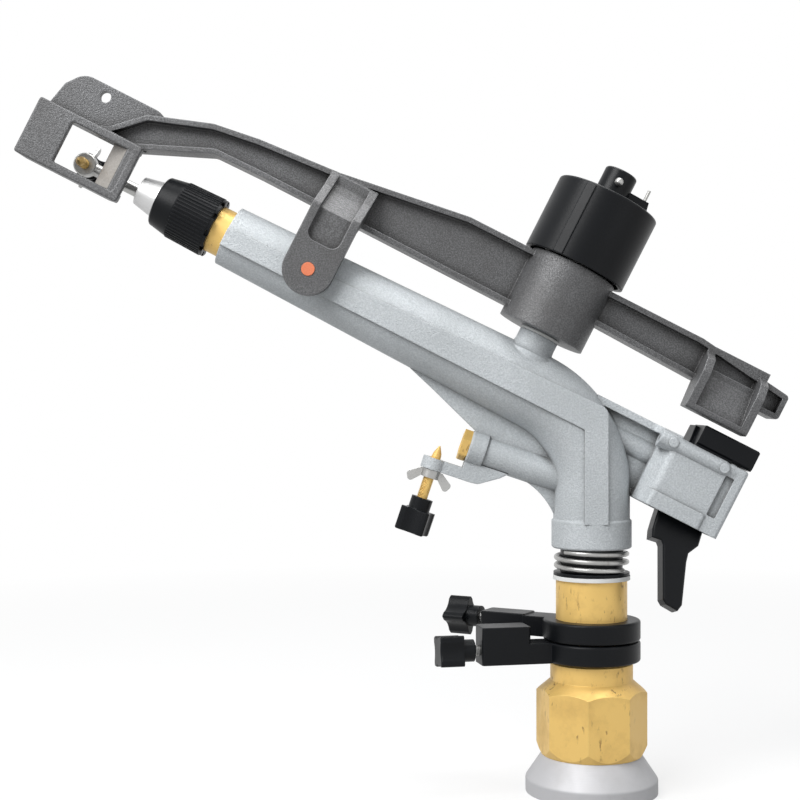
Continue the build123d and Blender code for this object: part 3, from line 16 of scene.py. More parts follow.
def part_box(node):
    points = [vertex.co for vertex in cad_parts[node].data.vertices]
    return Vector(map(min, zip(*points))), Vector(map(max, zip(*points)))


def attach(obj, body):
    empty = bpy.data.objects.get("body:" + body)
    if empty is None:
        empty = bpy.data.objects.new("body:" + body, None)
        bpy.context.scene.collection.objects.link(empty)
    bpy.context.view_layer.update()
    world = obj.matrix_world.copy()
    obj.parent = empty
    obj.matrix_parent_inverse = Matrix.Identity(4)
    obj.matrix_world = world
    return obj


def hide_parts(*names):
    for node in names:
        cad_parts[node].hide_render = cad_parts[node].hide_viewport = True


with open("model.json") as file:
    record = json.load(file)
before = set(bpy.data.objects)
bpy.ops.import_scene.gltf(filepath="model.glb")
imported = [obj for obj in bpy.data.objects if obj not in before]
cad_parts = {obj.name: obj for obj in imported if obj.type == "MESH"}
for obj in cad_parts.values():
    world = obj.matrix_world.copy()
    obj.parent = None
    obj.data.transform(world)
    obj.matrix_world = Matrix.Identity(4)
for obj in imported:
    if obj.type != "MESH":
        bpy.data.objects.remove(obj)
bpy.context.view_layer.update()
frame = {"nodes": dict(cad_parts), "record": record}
nodes = frame["nodes"]

# %% [markdown]
# ## The directions of the gun
# Most pieces lie along the barrel, which rises 27 degrees towards -X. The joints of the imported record
# hold these directions and the foot of the arm's shaft. The elbow, where the lines of the barrel and
# the column meet, lies behind and below that foot, and everything on the barrel is measured from it.

# %% Directions and places from the joints, in millimetres from the elbow
joints = {joint["name"]: joint for joint in frame["record"]["behaviour"]["joints"]}
ALONG = Vector(joints["trip_swing"]["axis"])
UPWARD = Vector(joints["arm_swing"]["axis"])
NEAR = Vector((0.0, -1.0, 0.0))
MM = 0.001
SHAFT_ALONG, SHAFT_UP = 46.8, 50.0
shaft_foot = Vector(joints["arm_swing"]["pos_m"])
elbow = shaft_foot - ALONG * (SHAFT_ALONG * MM) - UPWARD * (SHAFT_UP * MM)


def spot(along, up=0.0, near=0.0):
    """A point from millimetres along the barrel, square to it and towards the near side."""
    return elbow + ALONG * (along * MM) + UPWARD * (up * MM) + NEAR * (near * MM)


print("elbow", [round(value, 4) for value in elbow])

# %% [markdown]
# ## Camera
# A level camera at the height of the photograph's middle, 0.8 m from the gun. At the plane of the
# turning axis the picture is 0.44 m wide, which sets the lens.

# %% Camera
CAMERA_DISTANCE = 0.797
CAMERA_SIDE = -0.1053
CAMERA_HEIGHT = 0.2145
PICTURE_WIDTH = 0.440
SENSOR = 36.0
camera_data = bpy.data.cameras.new("camera")
camera_data.sensor_width = SENSOR
camera_data.lens = SENSOR * CAMERA_DISTANCE / PICTURE_WIDTH
camera = bpy.data.objects.new("camera", camera_data)
camera.location = (CAMERA_SIDE, -CAMERA_DISTANCE, CAMERA_HEIGHT)
camera.rotation_euler = (math.radians(90), 0, 0)
bpy.context.scene.collection.objects.link(camera)
bpy.context.scene.camera = camera
bpy.context.scene.view_settings.view_transform = "Standard"
print("lens", round(camera_data.lens, 1))

# %% [markdown]
# ## Small helpers for node trees
# A node tree is easier to read when each node is made, set and wired in one call. A socket is named
# by its label, or by its number after an underscore where several share a label.


# %% Node helpers
def add_node(tree, kind, settings=None, **inputs):
    """Adds a node, sets its fields and its sockets; a socket given as an output is linked."""
    node = tree.nodes.new(kind)
    for field, value in (settings or {}).items():
        setattr(node, field, value)
    for name, value in inputs.items():
        key = int(name[1:]) if name[0] == "_" else name.replace("_", " ")
        socket = node.inputs[key]
        if isinstance(value, bpy.types.NodeSocket):
            tree.links.new(value, socket)
        else:
            socket.default_value = value
    return node


def mixed(tree, factor, first, second, blend="MIX"):
    """A colour mix; returns its output socket."""
    settings = {"data_type": "RGBA", "blend_type": blend}
    return add_node(tree, "ShaderNodeMix", settings, _0=factor, _6=first, _7=second).outputs[2]


def worked(tree, operation, first, second, third=0.0):
    """A sum on two or three values; returns its output socket."""
    node = add_node(tree, "ShaderNodeMath", {"operation": operation}, _0=first, _1=second, _2=third)
    return node.outputs[0]


def ramp(tree, value, low, high, out_low=0.0, out_high=1.0):
    """Stretches a value between two limits; returns its output socket."""
    limits = {"_1": low, "_2": high, "_3": out_low, "_4": out_high}
    return add_node(tree, "ShaderNodeMapRange", None, _0=value, **limits).outputs[0]


# %% [markdown]
# ## Stage and light
# The photograph has a white ground and soft light from the upper left. The camera, reflections and
# glass see a white room, while the light that the room itself gives stays low, so that the lamps set
# the level. The floor is plain paper near the object, where it takes the shadow, and turns white
# further away, so that no horizon shows.


# %% Floor and world
ROOM_COLOUR = (0.92, 0.96, 1.0, 1)
ROOM_STRENGTH = 0.23
WHITE = (1, 1, 1, 1)
PAPER_LIT = (0.30, 0.30, 0.30, 1)
PAPER_SEEN = (0.95, 0.95, 0.95, 1)
FADE_FROM, FADE_TO = 0.30, 1.10
WHITE_SHARE_NEAR = 0.72
FLOOR_HALF = 3.0


def seen_directly(tree):
    """1 for what the camera sees itself, in a reflection or through glass; returns the socket."""
    path = add_node(tree, "ShaderNodeLightPath").outputs
    mirrored = worked(tree, "MAXIMUM", path["Is Camera Ray"], path["Is Glossy Ray"])
    return worked(tree, "MAXIMUM", mirrored, path["Is Transmission Ray"])


def emptied(owner):
    """The node tree of a world or material, without its first nodes."""
    owner.use_nodes = True
    owner.node_tree.nodes.clear()
    return owner.node_tree


world = bpy.data.worlds.new("studio")
bpy.context.scene.world = world
tree = emptied(world)
room = add_node(tree, "ShaderNodeBackground", None, Color=ROOM_COLOUR, Strength=ROOM_STRENGTH)
white = add_node(tree, "ShaderNodeBackground", None, Color=WHITE, Strength=1.0)
shown = add_node(tree, "ShaderNodeMixShader", None,
                 _0=seen_directly(tree), _1=room.outputs[0], _2=white.outputs[0])
add_node(tree, "ShaderNodeOutputWorld", None, Surface=shown.outputs[0])

floor_material = bpy.data.materials.new("floor")
tree = emptied(floor_material)
seen = seen_directly(tree)
paper = add_node(tree, "ShaderNodeBsdfDiffuse", None, Color=mixed(tree, seen, PAPER_LIT, PAPER_SEEN))
glow = add_node(tree, "ShaderNodeEmission", None, Color=WHITE, Strength=1.0)
place = add_node(tree, "ShaderNodeTexCoord").outputs["Object"]
away = add_node(tree, "ShaderNodeVectorMath", {"operation": "LENGTH"}, _0=place).outputs[1]
fade = ramp(tree, away, FADE_FROM, FADE_TO, WHITE_SHARE_NEAR, 1.0)
shown = add_node(tree, "ShaderNodeMixShader", None,
                 _0=worked(tree, "MULTIPLY", seen, fade), _1=paper.outputs[0], _2=glow.outputs[0])
add_node(tree, "ShaderNodeOutputMaterial", None, Surface=shown.outputs[0])

floor_mesh = bpy.data.meshes.new("floor")
corners = [(x * FLOOR_HALF, y * FLOOR_HALF, 0.0) for x, y in ((-1, -1), (1, -1), (1, 1), (-1, 1))]
floor_mesh.from_pydata(corners, [], [(0, 1, 2, 3)])
floor_mesh.materials.append(floor_material)
floor = bpy.data.objects.new("floor", floor_mesh)
bpy.context.scene.collection.objects.link(floor)
print("floor", FLOOR_HALF * 2, "m wide")

# %% [markdown]
# Three square area lamps look at the middle of the gun: a key from the upper left, a top light that
# draws the upper edges, and a weak fill from the right.

# %% Lamps
LAMP_AIM = Vector((-0.08, 0.0, 0.2))
LAMPS = (
    ("key", (-0.75, -0.75, 1.10), 0.8, 18.8),
    ("top", (0.10, 0.05, 1.20), 0.6, 8.0),
    ("fill", (0.95, -0.90, 0.50), 0.8, 1.5),
)
for name, place, size, power in LAMPS:
    lamp_data = bpy.data.lights.new(name, "AREA")
    lamp_data.size = size
    lamp_data.energy = power
    lamp = bpy.data.objects.new(name, lamp_data)
    lamp.location = place
    lamp.rotation_euler = (LAMP_AIM - Vector(place)).to_track_quat("-Z", "Y").to_euler()
    bpy.context.scene.collection.objects.link(lamp)
print("lamps", [name for name, *_ in LAMPS])

# %% [markdown]
# ## Shared effects
# Sand castings, moulded plastic and turned metal differ in a few effects: a fine grain with slow
# stains, tool marks with drips, and a painted highlight on outer edges with painted shade in the
# inner corners. Each effect is one shader group with named inputs, placed in the materials with
# their own values. Object coordinates keep a pattern on its piece. Sizes of noise are counts per metre.


# %% Group helper
def effect_group(name, inputs, outputs):
    """An empty shader group; returns it, its input sockets and its output node."""
    group = bpy.data.node_groups.new(name, "ShaderNodeTree")
    for label, kind, value in inputs:
        socket = group.interface.new_socket(label, in_out="INPUT", socket_type=kind)
        socket.default_value = value
    for label, kind in outputs:
        group.interface.new_socket(label, in_out="OUTPUT", socket_type=kind)
    return group, group.nodes.new("NodeGroupInput").outputs, group.nodes.new("NodeGroupOutput")


FLOAT = "NodeSocketFloat"
COLOUR = "NodeSocketColor"
VECTOR = "NodeSocketVector"

# %% [markdown]
# ### Grain of a casting
# A fine noise mixes the base tone with a lighter one, and small pits add to its height. A slow noise
# darkens whole patches and shifts their roughness a little.

# %% Cast grain
STAIN_SIZE = 22.0
SPECK = (0.42, 0.62)
PIT = (0.05, 0.35)
PATCH = (0.35, 0.68)
PATCH_SHINE = (0.3, 0.7, -0.05, 0.07)
cast_grain, given, result = effect_group(
    "cast_grain",
    [("Grain Size", FLOAT, 900.0), ("Pits", FLOAT, 0.3), ("Base", COLOUR, (0.5, 0.5, 0.5, 1)),
     ("Light", COLOUR, (0.6, 0.6, 0.6, 1)), ("Dark", COLOUR, (0.3, 0.3, 0.3, 1)),
     ("Stain", FLOAT, 0.4)],
    [("Color", COLOUR), ("Height", FLOAT), ("Roughness", FLOAT)],
)
place = add_node(cast_grain, "ShaderNodeTexCoord").outputs["Object"]
fine = add_node(cast_grain, "ShaderNodeTexNoise", None, Vector=place, Scale=given["Grain Size"],
                Detail=3.0, Roughness=0.6).outputs[0]
coarse = add_node(cast_grain, "ShaderNodeTexVoronoi", None, Vector=place,
                  Scale=given["Grain Size"]).outputs[0]
slow = add_node(cast_grain, "ShaderNodeTexNoise", None, Vector=place, Scale=STAIN_SIZE,
                Detail=4.0, Roughness=0.55).outputs[0]
tone = mixed(cast_grain, ramp(cast_grain, fine, *SPECK), given["Base"], given["Light"])
stain = worked(cast_grain, "MULTIPLY", ramp(cast_grain, slow, *PATCH), given["Stain"])
tone = mixed(cast_grain, stain, tone, given["Dark"])
height = worked(cast_grain, "MULTIPLY_ADD", ramp(cast_grain, coarse, *PIT), given["Pits"], fine)
cast_grain.links.new(tone, result.inputs["Color"])
cast_grain.links.new(height, result.inputs["Height"])
cast_grain.links.new(ramp(cast_grain, slow, *PATCH_SHINE), result.inputs["Roughness"])
print("cast_grain", len(cast_grain.nodes), "nodes")

# %% [markdown]
# ### Marks of the tool
# A noise in one direction gives the fine rings of turning, square to the piece's axis in the XZ
# plane. A cloudy stain lies over them, and drips, which are a noise stretched upwards, show only
# where a second, slower noise gathers them.

# %% Tool marks
CLOUD_SIZE = 38.0
DRIP_SIZE = 430.0
DRIP_STRETCH = (1.0, 1.0, 0.34)
GATHER_SIZE = 52.0
CLOUD = (0.48, 0.75)
DRIP = (0.60, 0.69)
GATHER = (0.50, 0.60)
CLOUD_SHINE = (0.35, 0.7, -0.06, 0.14)
tool_marks, given, result = effect_group(
    "tool_marks",
    [("Lines", FLOAT, 2500.0), ("Axis X", FLOAT, 0.0), ("Axis Z", FLOAT, 1.0),
     ("Base", COLOUR, (0.7, 0.5, 0.2, 1)), ("Stain Color", COLOUR, (0.3, 0.15, 0.05, 1)),
     ("Stain", FLOAT, 0.4), ("Spots", FLOAT, 0.3)],
    [("Color", COLOUR), ("Height", FLOAT), ("Roughness", FLOAT)],
)
place = add_node(tool_marks, "ShaderNodeTexCoord").outputs["Object"]
parts = add_node(tool_marks, "ShaderNodeSeparateXYZ", None, Vector=place).outputs
lean = worked(tool_marks, "MULTIPLY", parts["X"], given["Axis X"])
run = worked(tool_marks, "MULTIPLY_ADD", parts["Z"], given["Axis Z"], lean)
rings = add_node(tool_marks, "ShaderNodeTexNoise", {"noise_dimensions": "1D"}, W=run,
                 Scale=given["Lines"], Detail=2.0).outputs[0]
cloud = add_node(tool_marks, "ShaderNodeTexNoise", None, Vector=place, Scale=CLOUD_SIZE,
                 Detail=6.0, Roughness=0.65).outputs[0]
stretched = add_node(tool_marks, "ShaderNodeMapping", None, Vector=place,
                     Scale=DRIP_STRETCH).outputs[0]
drips = add_node(tool_marks, "ShaderNodeTexNoise", None, Vector=stretched, Scale=DRIP_SIZE,
                 Detail=3.0, Roughness=0.6).outputs[0]
groups = add_node(tool_marks, "ShaderNodeTexNoise", None, Vector=place, Scale=GATHER_SIZE,
                  Detail=2.0).outputs[0]
gathered = worked(tool_marks, "MULTIPLY", ramp(tool_marks, drips, *DRIP),
                  ramp(tool_marks, groups, *GATHER))
stain = worked(tool_marks, "MULTIPLY", ramp(tool_marks, cloud, *CLOUD), given["Stain"])
tone = mixed(tool_marks, stain, given["Base"], given["Stain Color"])
spots = worked(tool_marks, "MULTIPLY", gathered, given["Spots"])
tone = mixed(tool_marks, spots, tone, given["Stain Color"])
tool_marks.links.new(tone, result.inputs["Color"])
tool_marks.links.new(rings, result.inputs["Height"])
tool_marks.links.new(ramp(tool_marks, cloud, *CLOUD_SHINE), result.inputs["Roughness"])
print("tool_marks", len(tool_marks.nodes), "nodes")

# %% [markdown]
# ### Edges and corners
# A painted highlight makes the outer edges lighter, and painted shade darkens the inner corners. The
# Bevel node gives the normal of a slightly rounded edge: where it leaves the true normal there is an
# edge. Ambient occlusion on the piece alone finds the corners.

# %% Painted edge highlight and corner shade
# Ramp limits of the painted edge highlight and of the painted corner shade, and the colour that the
# painted shade multiplies by.
EDGE = (0.995, 0.86)
CORNER = (0.95, 0.35)
CORNER_SHADE_COLOUR = (0.22, 0.21, 0.20, 1)
edge_highlight_corner_shade, given, result = effect_group(
    "edge_highlight_corner_shade",
    [("Color", COLOUR, (0.5, 0.5, 0.5, 1)), ("Edge Highlight", COLOUR, (0.7, 0.7, 0.7, 1)),
     ("Reach", FLOAT, 0.0008), ("Amount", FLOAT, 0.5), ("Corner Shade", FLOAT, 0.4),
     ("Corner Shade Reach", FLOAT, 0.006)],
    [("Color", COLOUR), ("Normal", VECTOR)],
)
rounded = add_node(edge_highlight_corner_shade, "ShaderNodeBevel", {"samples": 6}, Radius=given["Reach"]).outputs[0]
surface = add_node(edge_highlight_corner_shade, "ShaderNodeNewGeometry").outputs["Normal"]
agree = add_node(edge_highlight_corner_shade, "ShaderNodeVectorMath", {"operation": "DOT_PRODUCT"},
                 _0=rounded, _1=surface).outputs["Value"]
# Painted highlight: the outer edges turn lighter.
highlight_share = worked(edge_highlight_corner_shade, "MULTIPLY", ramp(edge_highlight_corner_shade, agree, *EDGE), given["Amount"])
open_share = add_node(edge_highlight_corner_shade, "ShaderNodeAmbientOcclusion", {"samples": 8, "only_local": True},
                      Distance=given["Corner Shade Reach"]).outputs["AO"]
# Painted shade: the inner corners, found by ambient occlusion, turn darker.
corner_shade_share = worked(edge_highlight_corner_shade, "MULTIPLY", ramp(edge_highlight_corner_shade, open_share, *CORNER), given["Corner Shade"])
tone = mixed(edge_highlight_corner_shade, highlight_share, given["Color"], given["Edge Highlight"])
tone = mixed(edge_highlight_corner_shade, corner_shade_share, tone, CORNER_SHADE_COLOUR, "MULTIPLY")
edge_highlight_corner_shade.links.new(tone, result.inputs["Color"])
edge_highlight_corner_shade.links.new(rounded, result.inputs["Normal"])
print("effects", [group.name for group in bpy.data.node_groups])

# %% [markdown]
# ## Materials
# Each finish is one Principled shader fed by the grain or the tool marks, with the painted edge
# highlight and the painted corner shade on top. What is even over the whole piece is set on the
# shader itself.


# %% Finishes
# How much lighter than the base tone the colour of the painted edge highlight is.
HIGHLIGHT_BASE_LIGHTER = 1.25
EDGE_HIGHLIGHT_LIGHTER = 1.6


def finish(name, effect, values, roughness, metallic, bump, bump_depth,
           specular=0.5, reach=0.0003, edge_highlight_amount=0.2, corner_shade_amount=0.0):
    """A material: a Principled shader with an effect's colour, roughness shift and height, plus painted
    edge highlight and corner shade.
    """
    material = bpy.data.materials.new(name)
    material.use_nodes = True
    tree = material.node_tree
    shader = tree.nodes["Principled BSDF"]
    marks = tree.nodes.new("ShaderNodeGroup")
    marks.node_tree = effect
    for label, value in values.items():
        marks.inputs[label].default_value = value
    edge = tree.nodes.new("ShaderNodeGroup")
    edge.node_tree = edge_highlight_corner_shade
    # Painted highlight on the outer edges, a lighter copy of the grain's light tone or of the base, and
    # painted shade in the inner corners.
    highlight_base = values.get("Light", [min(1.0, part * HIGHLIGHT_BASE_LIGHTER) for part in values["Base"]])
    edge.inputs["Edge Highlight"].default_value = [min(1.0, part * EDGE_HIGHLIGHT_LIGHTER) for part in highlight_base[:3]] + [1]
    edge.inputs["Reach"].default_value = reach
    edge.inputs["Amount"].default_value = edge_highlight_amount
    edge.inputs["Corner Shade"].default_value = corner_shade_amount
    tree.links.new(marks.outputs["Color"], edge.inputs["Color"])
    rough = worked(tree, "ADD", marks.outputs["Roughness"], roughness)
    relief = add_node(tree, "ShaderNodeBump", None, Strength=bump, Distance=bump_depth,
                      Height=marks.outputs["Height"], Normal=edge.outputs["Normal"])
    tree.links.new(edge.outputs["Color"], shader.inputs["Base Color"])
    tree.links.new(rough, shader.inputs["Roughness"])
    tree.links.new(relief.outputs[0], shader.inputs["Normal"])
    shader.inputs["Metallic"].default_value = metallic
    shader.inputs["Specular IOR Level"].default_value = specular
    material.diffuse_color = (*values["Base"][:3], 1)
    return material


def grey(value, red=1.0, blue=1.0):
    """A grey whose red and blue may lean a little."""
    return (value * red, value, value * blue, 1)


# The edge and corner values of each finish set the strength of its painted edge highlight and painted
# corner shade.
cast_silver = finish(
    "cast_silver", cast_grain,
    {"Grain Size": 1050.0, "Pits": 0.35, "Base": (0.50, 0.53, 0.55, 1),
     "Light": (0.63, 0.66, 0.68, 1), "Dark": (0.41, 0.435, 0.445, 1), "Stain": 0.4},
    roughness=0.60, metallic=0.22, bump=0.80, bump_depth=0.0005, reach=0.0010, edge_highlight_amount=0.06, corner_shade_amount=0.85)
cast_dark = finish(
    "cast_dark", cast_grain,
    {"Grain Size": 1250.0, "Pits": 0.4, "Base": (0.084, 0.085, 0.088, 1),
     "Light": (0.172, 0.174, 0.180, 1), "Dark": (0.070, 0.068, 0.067, 1), "Stain": 0.5},
    roughness=0.42, metallic=0.36, bump=0.60, bump_depth=0.0004, reach=0.0010, edge_highlight_amount=0.55, corner_shade_amount=0.9)
worn_metal = finish(
    "worn_metal", cast_grain,
    {"Grain Size": 900.0, "Pits": 0.3, "Base": (0.40, 0.375, 0.345, 1),
     "Light": (0.50, 0.475, 0.445, 1), "Dark": (0.24, 0.22, 0.20, 1), "Stain": 0.6},
    roughness=0.40, metallic=0.45, bump=0.40, bump_depth=0.0002)
adapter_grey = finish(
    "adapter_grey", tool_marks,
    {"Lines": 3200.0, "Base": grey(0.54, blue=1.03), "Stain Color": grey(0.38), "Stain": 0.3,
     "Spots": 0.1},
    roughness=0.55, metallic=0.25, bump=0.25, bump_depth=0.0002)
bright_brass = finish(
    "bright_brass", tool_marks,
    {"Lines": 2600.0, "Base": (0.84, 0.56, 0.175, 1), "Stain Color": (0.24, 0.12, 0.04, 1),
     "Stain": 0.34, "Spots": 0.85},
    roughness=0.42, metallic=0.40, bump=0.25, bump_depth=0.00012, edge_highlight_amount=0.3, corner_shade_amount=0.5)
bright_steel = finish(
    "bright_steel", tool_marks,
    {"Lines": 4000.0, "Base": grey(0.42, blue=0.98), "Stain Color": grey(0.16, 1.05, 0.9),
     "Stain": 0.5, "Spots": 0.4},
    roughness=0.30, metallic=0.85, bump=0.2, bump_depth=0.0001)
turned_tip = finish(
    "turned_tip", tool_marks,
    {"Lines": 3500.0, "Axis X": ALONG.x, "Axis Z": ALONG.z, "Base": grey(0.64),
     "Stain Color": grey(0.42), "Stain": 0.3, "Spots": 0.1},
    roughness=0.32, metallic=0.6, bump=0.35, bump_depth=0.00015)
black_moulding = finish(
    "black_moulding", cast_grain,
    {"Grain Size": 2400.0, "Pits": 0.15, "Base": (0.0036, 0.0043, 0.0054, 1),
     "Light": (0.0060, 0.0072, 0.0092, 1), "Dark": (0.0026, 0.0030, 0.0038, 1), "Stain": 0.6},
    roughness=0.36, metallic=0.0, bump=0.18, bump_depth=0.00015, specular=0.16, reach=0.0008, edge_highlight_amount=0.7)
white_nylon = finish(
    "white_nylon", cast_grain,
    {"Grain Size": 700.0, "Pits": 0.1, "Base": (0.87, 0.88, 0.87, 1),
     "Light": (0.90, 0.90, 0.89, 1), "Dark": (0.66, 0.65, 0.60, 1), "Stain": 0.4},
    roughness=0.42, metallic=0.0, bump=0.1, bump_depth=0.00015)
black_rubber = finish(
    "black_rubber", cast_grain,
    {"Grain Size": 900.0, "Pits": 0.2, "Base": (0.012, 0.012, 0.013, 1),
     "Light": (0.018, 0.018, 0.018, 1), "Dark": (0.009, 0.009, 0.009, 1), "Stain": 0.5},
    roughness=0.58, metallic=0.0, bump=0.2, bump_depth=0.0002, specular=0.3)
orange_rubber = finish(
    "orange_rubber", cast_grain,
    {"Grain Size": 1300.0, "Pits": 0.2, "Base": (0.90, 0.27, 0.13, 1),
     "Light": (0.95, 0.34, 0.18, 1), "Dark": (0.60, 0.09, 0.03, 1), "Stain": 0.4},
    roughness=0.48, metallic=0.0, bump=0.15, bump_depth=0.00018)
print("finishes", [material.name for material in bpy.data.materials])

# %% Give every node its finish
finish_of_slot = {
    "casting": cast_silver, "adapter": adapter_grey, "arm": cast_dark, "brass": bright_brass,
    "steel": bright_steel, "tip": turned_tip, "black_plastic": black_moulding,
    "white_plastic": white_nylon, "rubber": black_rubber, "orange": orange_rubber,
}
slot_of_node = {entry["node"]: entry["material_slot"] for entry in frame["record"]["subparts"]}


def dress(piece, material):
    """Puts one material in every slot of a piece."""
    if not piece.material_slots:
        piece.data.materials.append(material)
    for slot in piece.material_slots:
        slot.material = material


for name, node in nodes.items():
    dress(node, finish_of_slot[slot_of_node[name]])
print("dressed", len(nodes), "nodes with", len(finish_of_slot), "finishes")

# %% [markdown]
# ## Repeating details by Geometry Nodes
# Threads, springs and ribs all repeat along a path or round an axis. A tree for each kind is built
# once with named inputs. It is evaluated on an empty mesh, and the plain mesh that comes out is moved
# to its place along its axis.


# %% Tree helpers
def new_tree(name, inputs):
    """A geometry tree with float or integer inputs; returns the tree and its input node."""
    tree = bpy.data.node_groups.new(name, "GeometryNodeTree")
    for label, value in inputs:
        kind = "NodeSocketInt" if isinstance(value, int) else "NodeSocketFloat"
        socket = tree.interface.new_socket(label, in_out="INPUT", socket_type=kind)
        socket.default_value = value
    tree.interface.new_socket("Material", in_out="INPUT", socket_type="NodeSocketMaterial")
    tree.interface.new_socket("Geometry", in_out="OUTPUT", socket_type="NodeSocketGeometry")
    return tree, tree.nodes.new("NodeGroupInput")


def close_tree(tree, given, geometry):
    """Ends a tree: real geometry, smooth faces and the material."""
    real = add_node(tree, "GeometryNodeRealizeInstances", None, Geometry=geometry)
    smooth = add_node(tree, "GeometryNodeSetShadeSmooth", None, Geometry=real.outputs[0])
    dressed = add_node(tree, "GeometryNodeSetMaterial", None, Geometry=smooth.outputs[0],
                       Material=given.outputs["Material"])
    add_node(tree, "NodeGroupOutput", None, Geometry=dressed.outputs[0])


def axis_matrix(origin, direction):
    """The place of a piece made along +Z: its foot at origin, its axis along direction."""
    return Matrix.Translation(origin) @ direction.to_track_quat("Z", "Y").to_matrix().to_4x4()


def grown(name, tree, values, matrix, material, body):
    """Evaluates a tree with its values and returns the plain mesh, in place and riding."""
    holder = bpy.data.objects.new(name + "_source", bpy.data.meshes.new(name + "_source"))
    bpy.context.scene.collection.objects.link(holder)
    modifier = holder.modifiers.new("grow", "NODES")
    modifier.node_group = tree
    sockets = tree.interface.items_tree
    identifiers = {item.name: item.identifier for item in sockets if item.in_out == "INPUT"}
    for label, value in values.items():
        modifier[identifiers[label]] = value
    modifier[identifiers["Material"]] = material
    bpy.context.view_layer.update()
    evaluated = holder.evaluated_get(bpy.context.evaluated_depsgraph_get())
    mesh = bpy.data.meshes.new_from_object(evaluated)
    bpy.data.objects.remove(holder)
    mesh.name = name
    return settle(name, mesh, matrix, material, body)


def settle(name, mesh, matrix, material, body):
    """Puts a mesh in its place, turns its faces outwards and lets it ride on a body."""
    mesh.transform(matrix)
    shape = bmesh.new()
    shape.from_mesh(mesh)
    bmesh.ops.recalc_face_normals(shape, faces=shape.faces)
    shape.to_mesh(mesh)
    shape.free()
    piece = bpy.data.objects.new(name, mesh)
    bpy.context.scene.collection.objects.link(piece)
    dress(piece, material)
    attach(piece, body)
    return piece


# %% [markdown]
# ### Springs and threads
# A spring is a round wire on a spiral. A screw thread is the same spiral with a four-sided wire, half
# sunk in the shank, so one tree makes both: the number of sides of the wire tells them apart.

# %% Spiral tree
spiral_tree, given = new_tree("spiral", [("Radius", 0.019), ("Height", 0.01), ("Turns", 3.0),
                                         ("Wire", 0.001), ("Sides", 12), ("Steps", 96)])
spiral = add_node(spiral_tree, "GeometryNodeCurveSpiral", None, Resolution=given.outputs["Steps"],
                  Rotations=given.outputs["Turns"], Start_Radius=given.outputs["Radius"],
                  End_Radius=given.outputs["Radius"], Height=given.outputs["Height"])
wire = add_node(spiral_tree, "GeometryNodeCurvePrimitiveCircle", None,
                Resolution=given.outputs["Sides"], Radius=given.outputs["Wire"])
tube = add_node(spiral_tree, "GeometryNodeCurveToMesh", None, Curve=spiral.outputs[0],
                Profile_Curve=wire.outputs[0], Fill_Caps=True)
close_tree(spiral_tree, given, tube.outputs[0])
print("spiral", len(spiral_tree.nodes), "nodes")

# %% [markdown]
# Each thread runs between two distances from the middle of its screw, along the direction in which
# the screw leaves. The stop screws are steel and coarse, the breaker pins brass and finer. Sizes are
# in millimetres: radius, first and last distance, and pitch.

# %% Screw threads
STOP_SCREW_R = 2.75
BREAKER_SCREW_R = 2.6
THREAD_SINK = 0.18
RIDGE_SHARE = 0.42
RIDGE_SIDES = 4
RIDGE_STEPS = 20
STOP_THREAD = (STOP_SCREW_R, 15.8, 19.0, 1.0, bright_steel)
SCREWS = (
    ("lower_stop_screw", "lower_stop_screw_travel", "lower_stop_bolt", "steel", *STOP_THREAD),
    ("upper_stop_screw", "upper_stop_screw_travel", "upper_stop_bolt", "steel", *STOP_THREAD),
    ("lower_breaker_pin", "lower_breaker_travel", "lower_pin", "brass",
     BREAKER_SCREW_R, -14.0, 10.2, 0.8, bright_brass),
    ("front_breaker_pin", "front_breaker_travel", "front_pin", "brass",
     BREAKER_SCREW_R, -15.8, 12.0, 0.8, bright_brass),
)
for node, joint, body, slot, radius, first, last, pitch, material in SCREWS:
    direction = Vector(joints[joint]["axis"])
    low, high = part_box(node)
    start = (Vector(low) + Vector(high)) / 2 + direction * (first * MM)
    values = {"Radius": (radius - THREAD_SINK) * MM, "Height": (last - first) * MM,
              "Turns": (last - first) / pitch, "Wire": pitch * RIDGE_SHARE * MM,
              "Sides": RIDGE_SIDES, "Steps": RIDGE_STEPS}
    grown(node + "_thread", spiral_tree, values, axis_matrix(start, direction), material, body)

# %% [markdown]
# ### Sand spring
# The solid spring is faceted for the motion. The one that shows is a finer wire on the same spiral,
# turned so that its ends lie at the sides and three coils cross the front, as in the photograph.

# %% Sand spring
low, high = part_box("sand_spring")
WIRE_R = 1.4 * MM
SPRING_TURNS = 2.3
SPRING_TURN = math.radians(-36)
coil_r = (high[0] - low[0]) / 2 - WIRE_R
coil_h = high[2] - low[2] - 2 * WIRE_R
coil = {"Radius": coil_r, "Height": coil_h, "Turns": SPRING_TURNS, "Wire": WIRE_R,
        "Sides": 20, "Steps": 90}
spring_place = Matrix.Translation((0, 0, low[2] + WIRE_R)) @ Matrix.Rotation(SPRING_TURN, 4, "Z")
sand_spring = grown("sand_spring_wire", spiral_tree, coil, spring_place, bright_steel, "riser")
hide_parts("sand_spring")
print("spring radius", round(coil_r, 4), "height", round(coil_h, 4))

# %% [markdown]
# ### Ribs of the nozzle cap
# The cap is turned by hand, so its body is ribbed all round. One rib is a low bar on the cap's cone,
# and the tree copies it round the axis. The cap's own sizes are in millimetres.

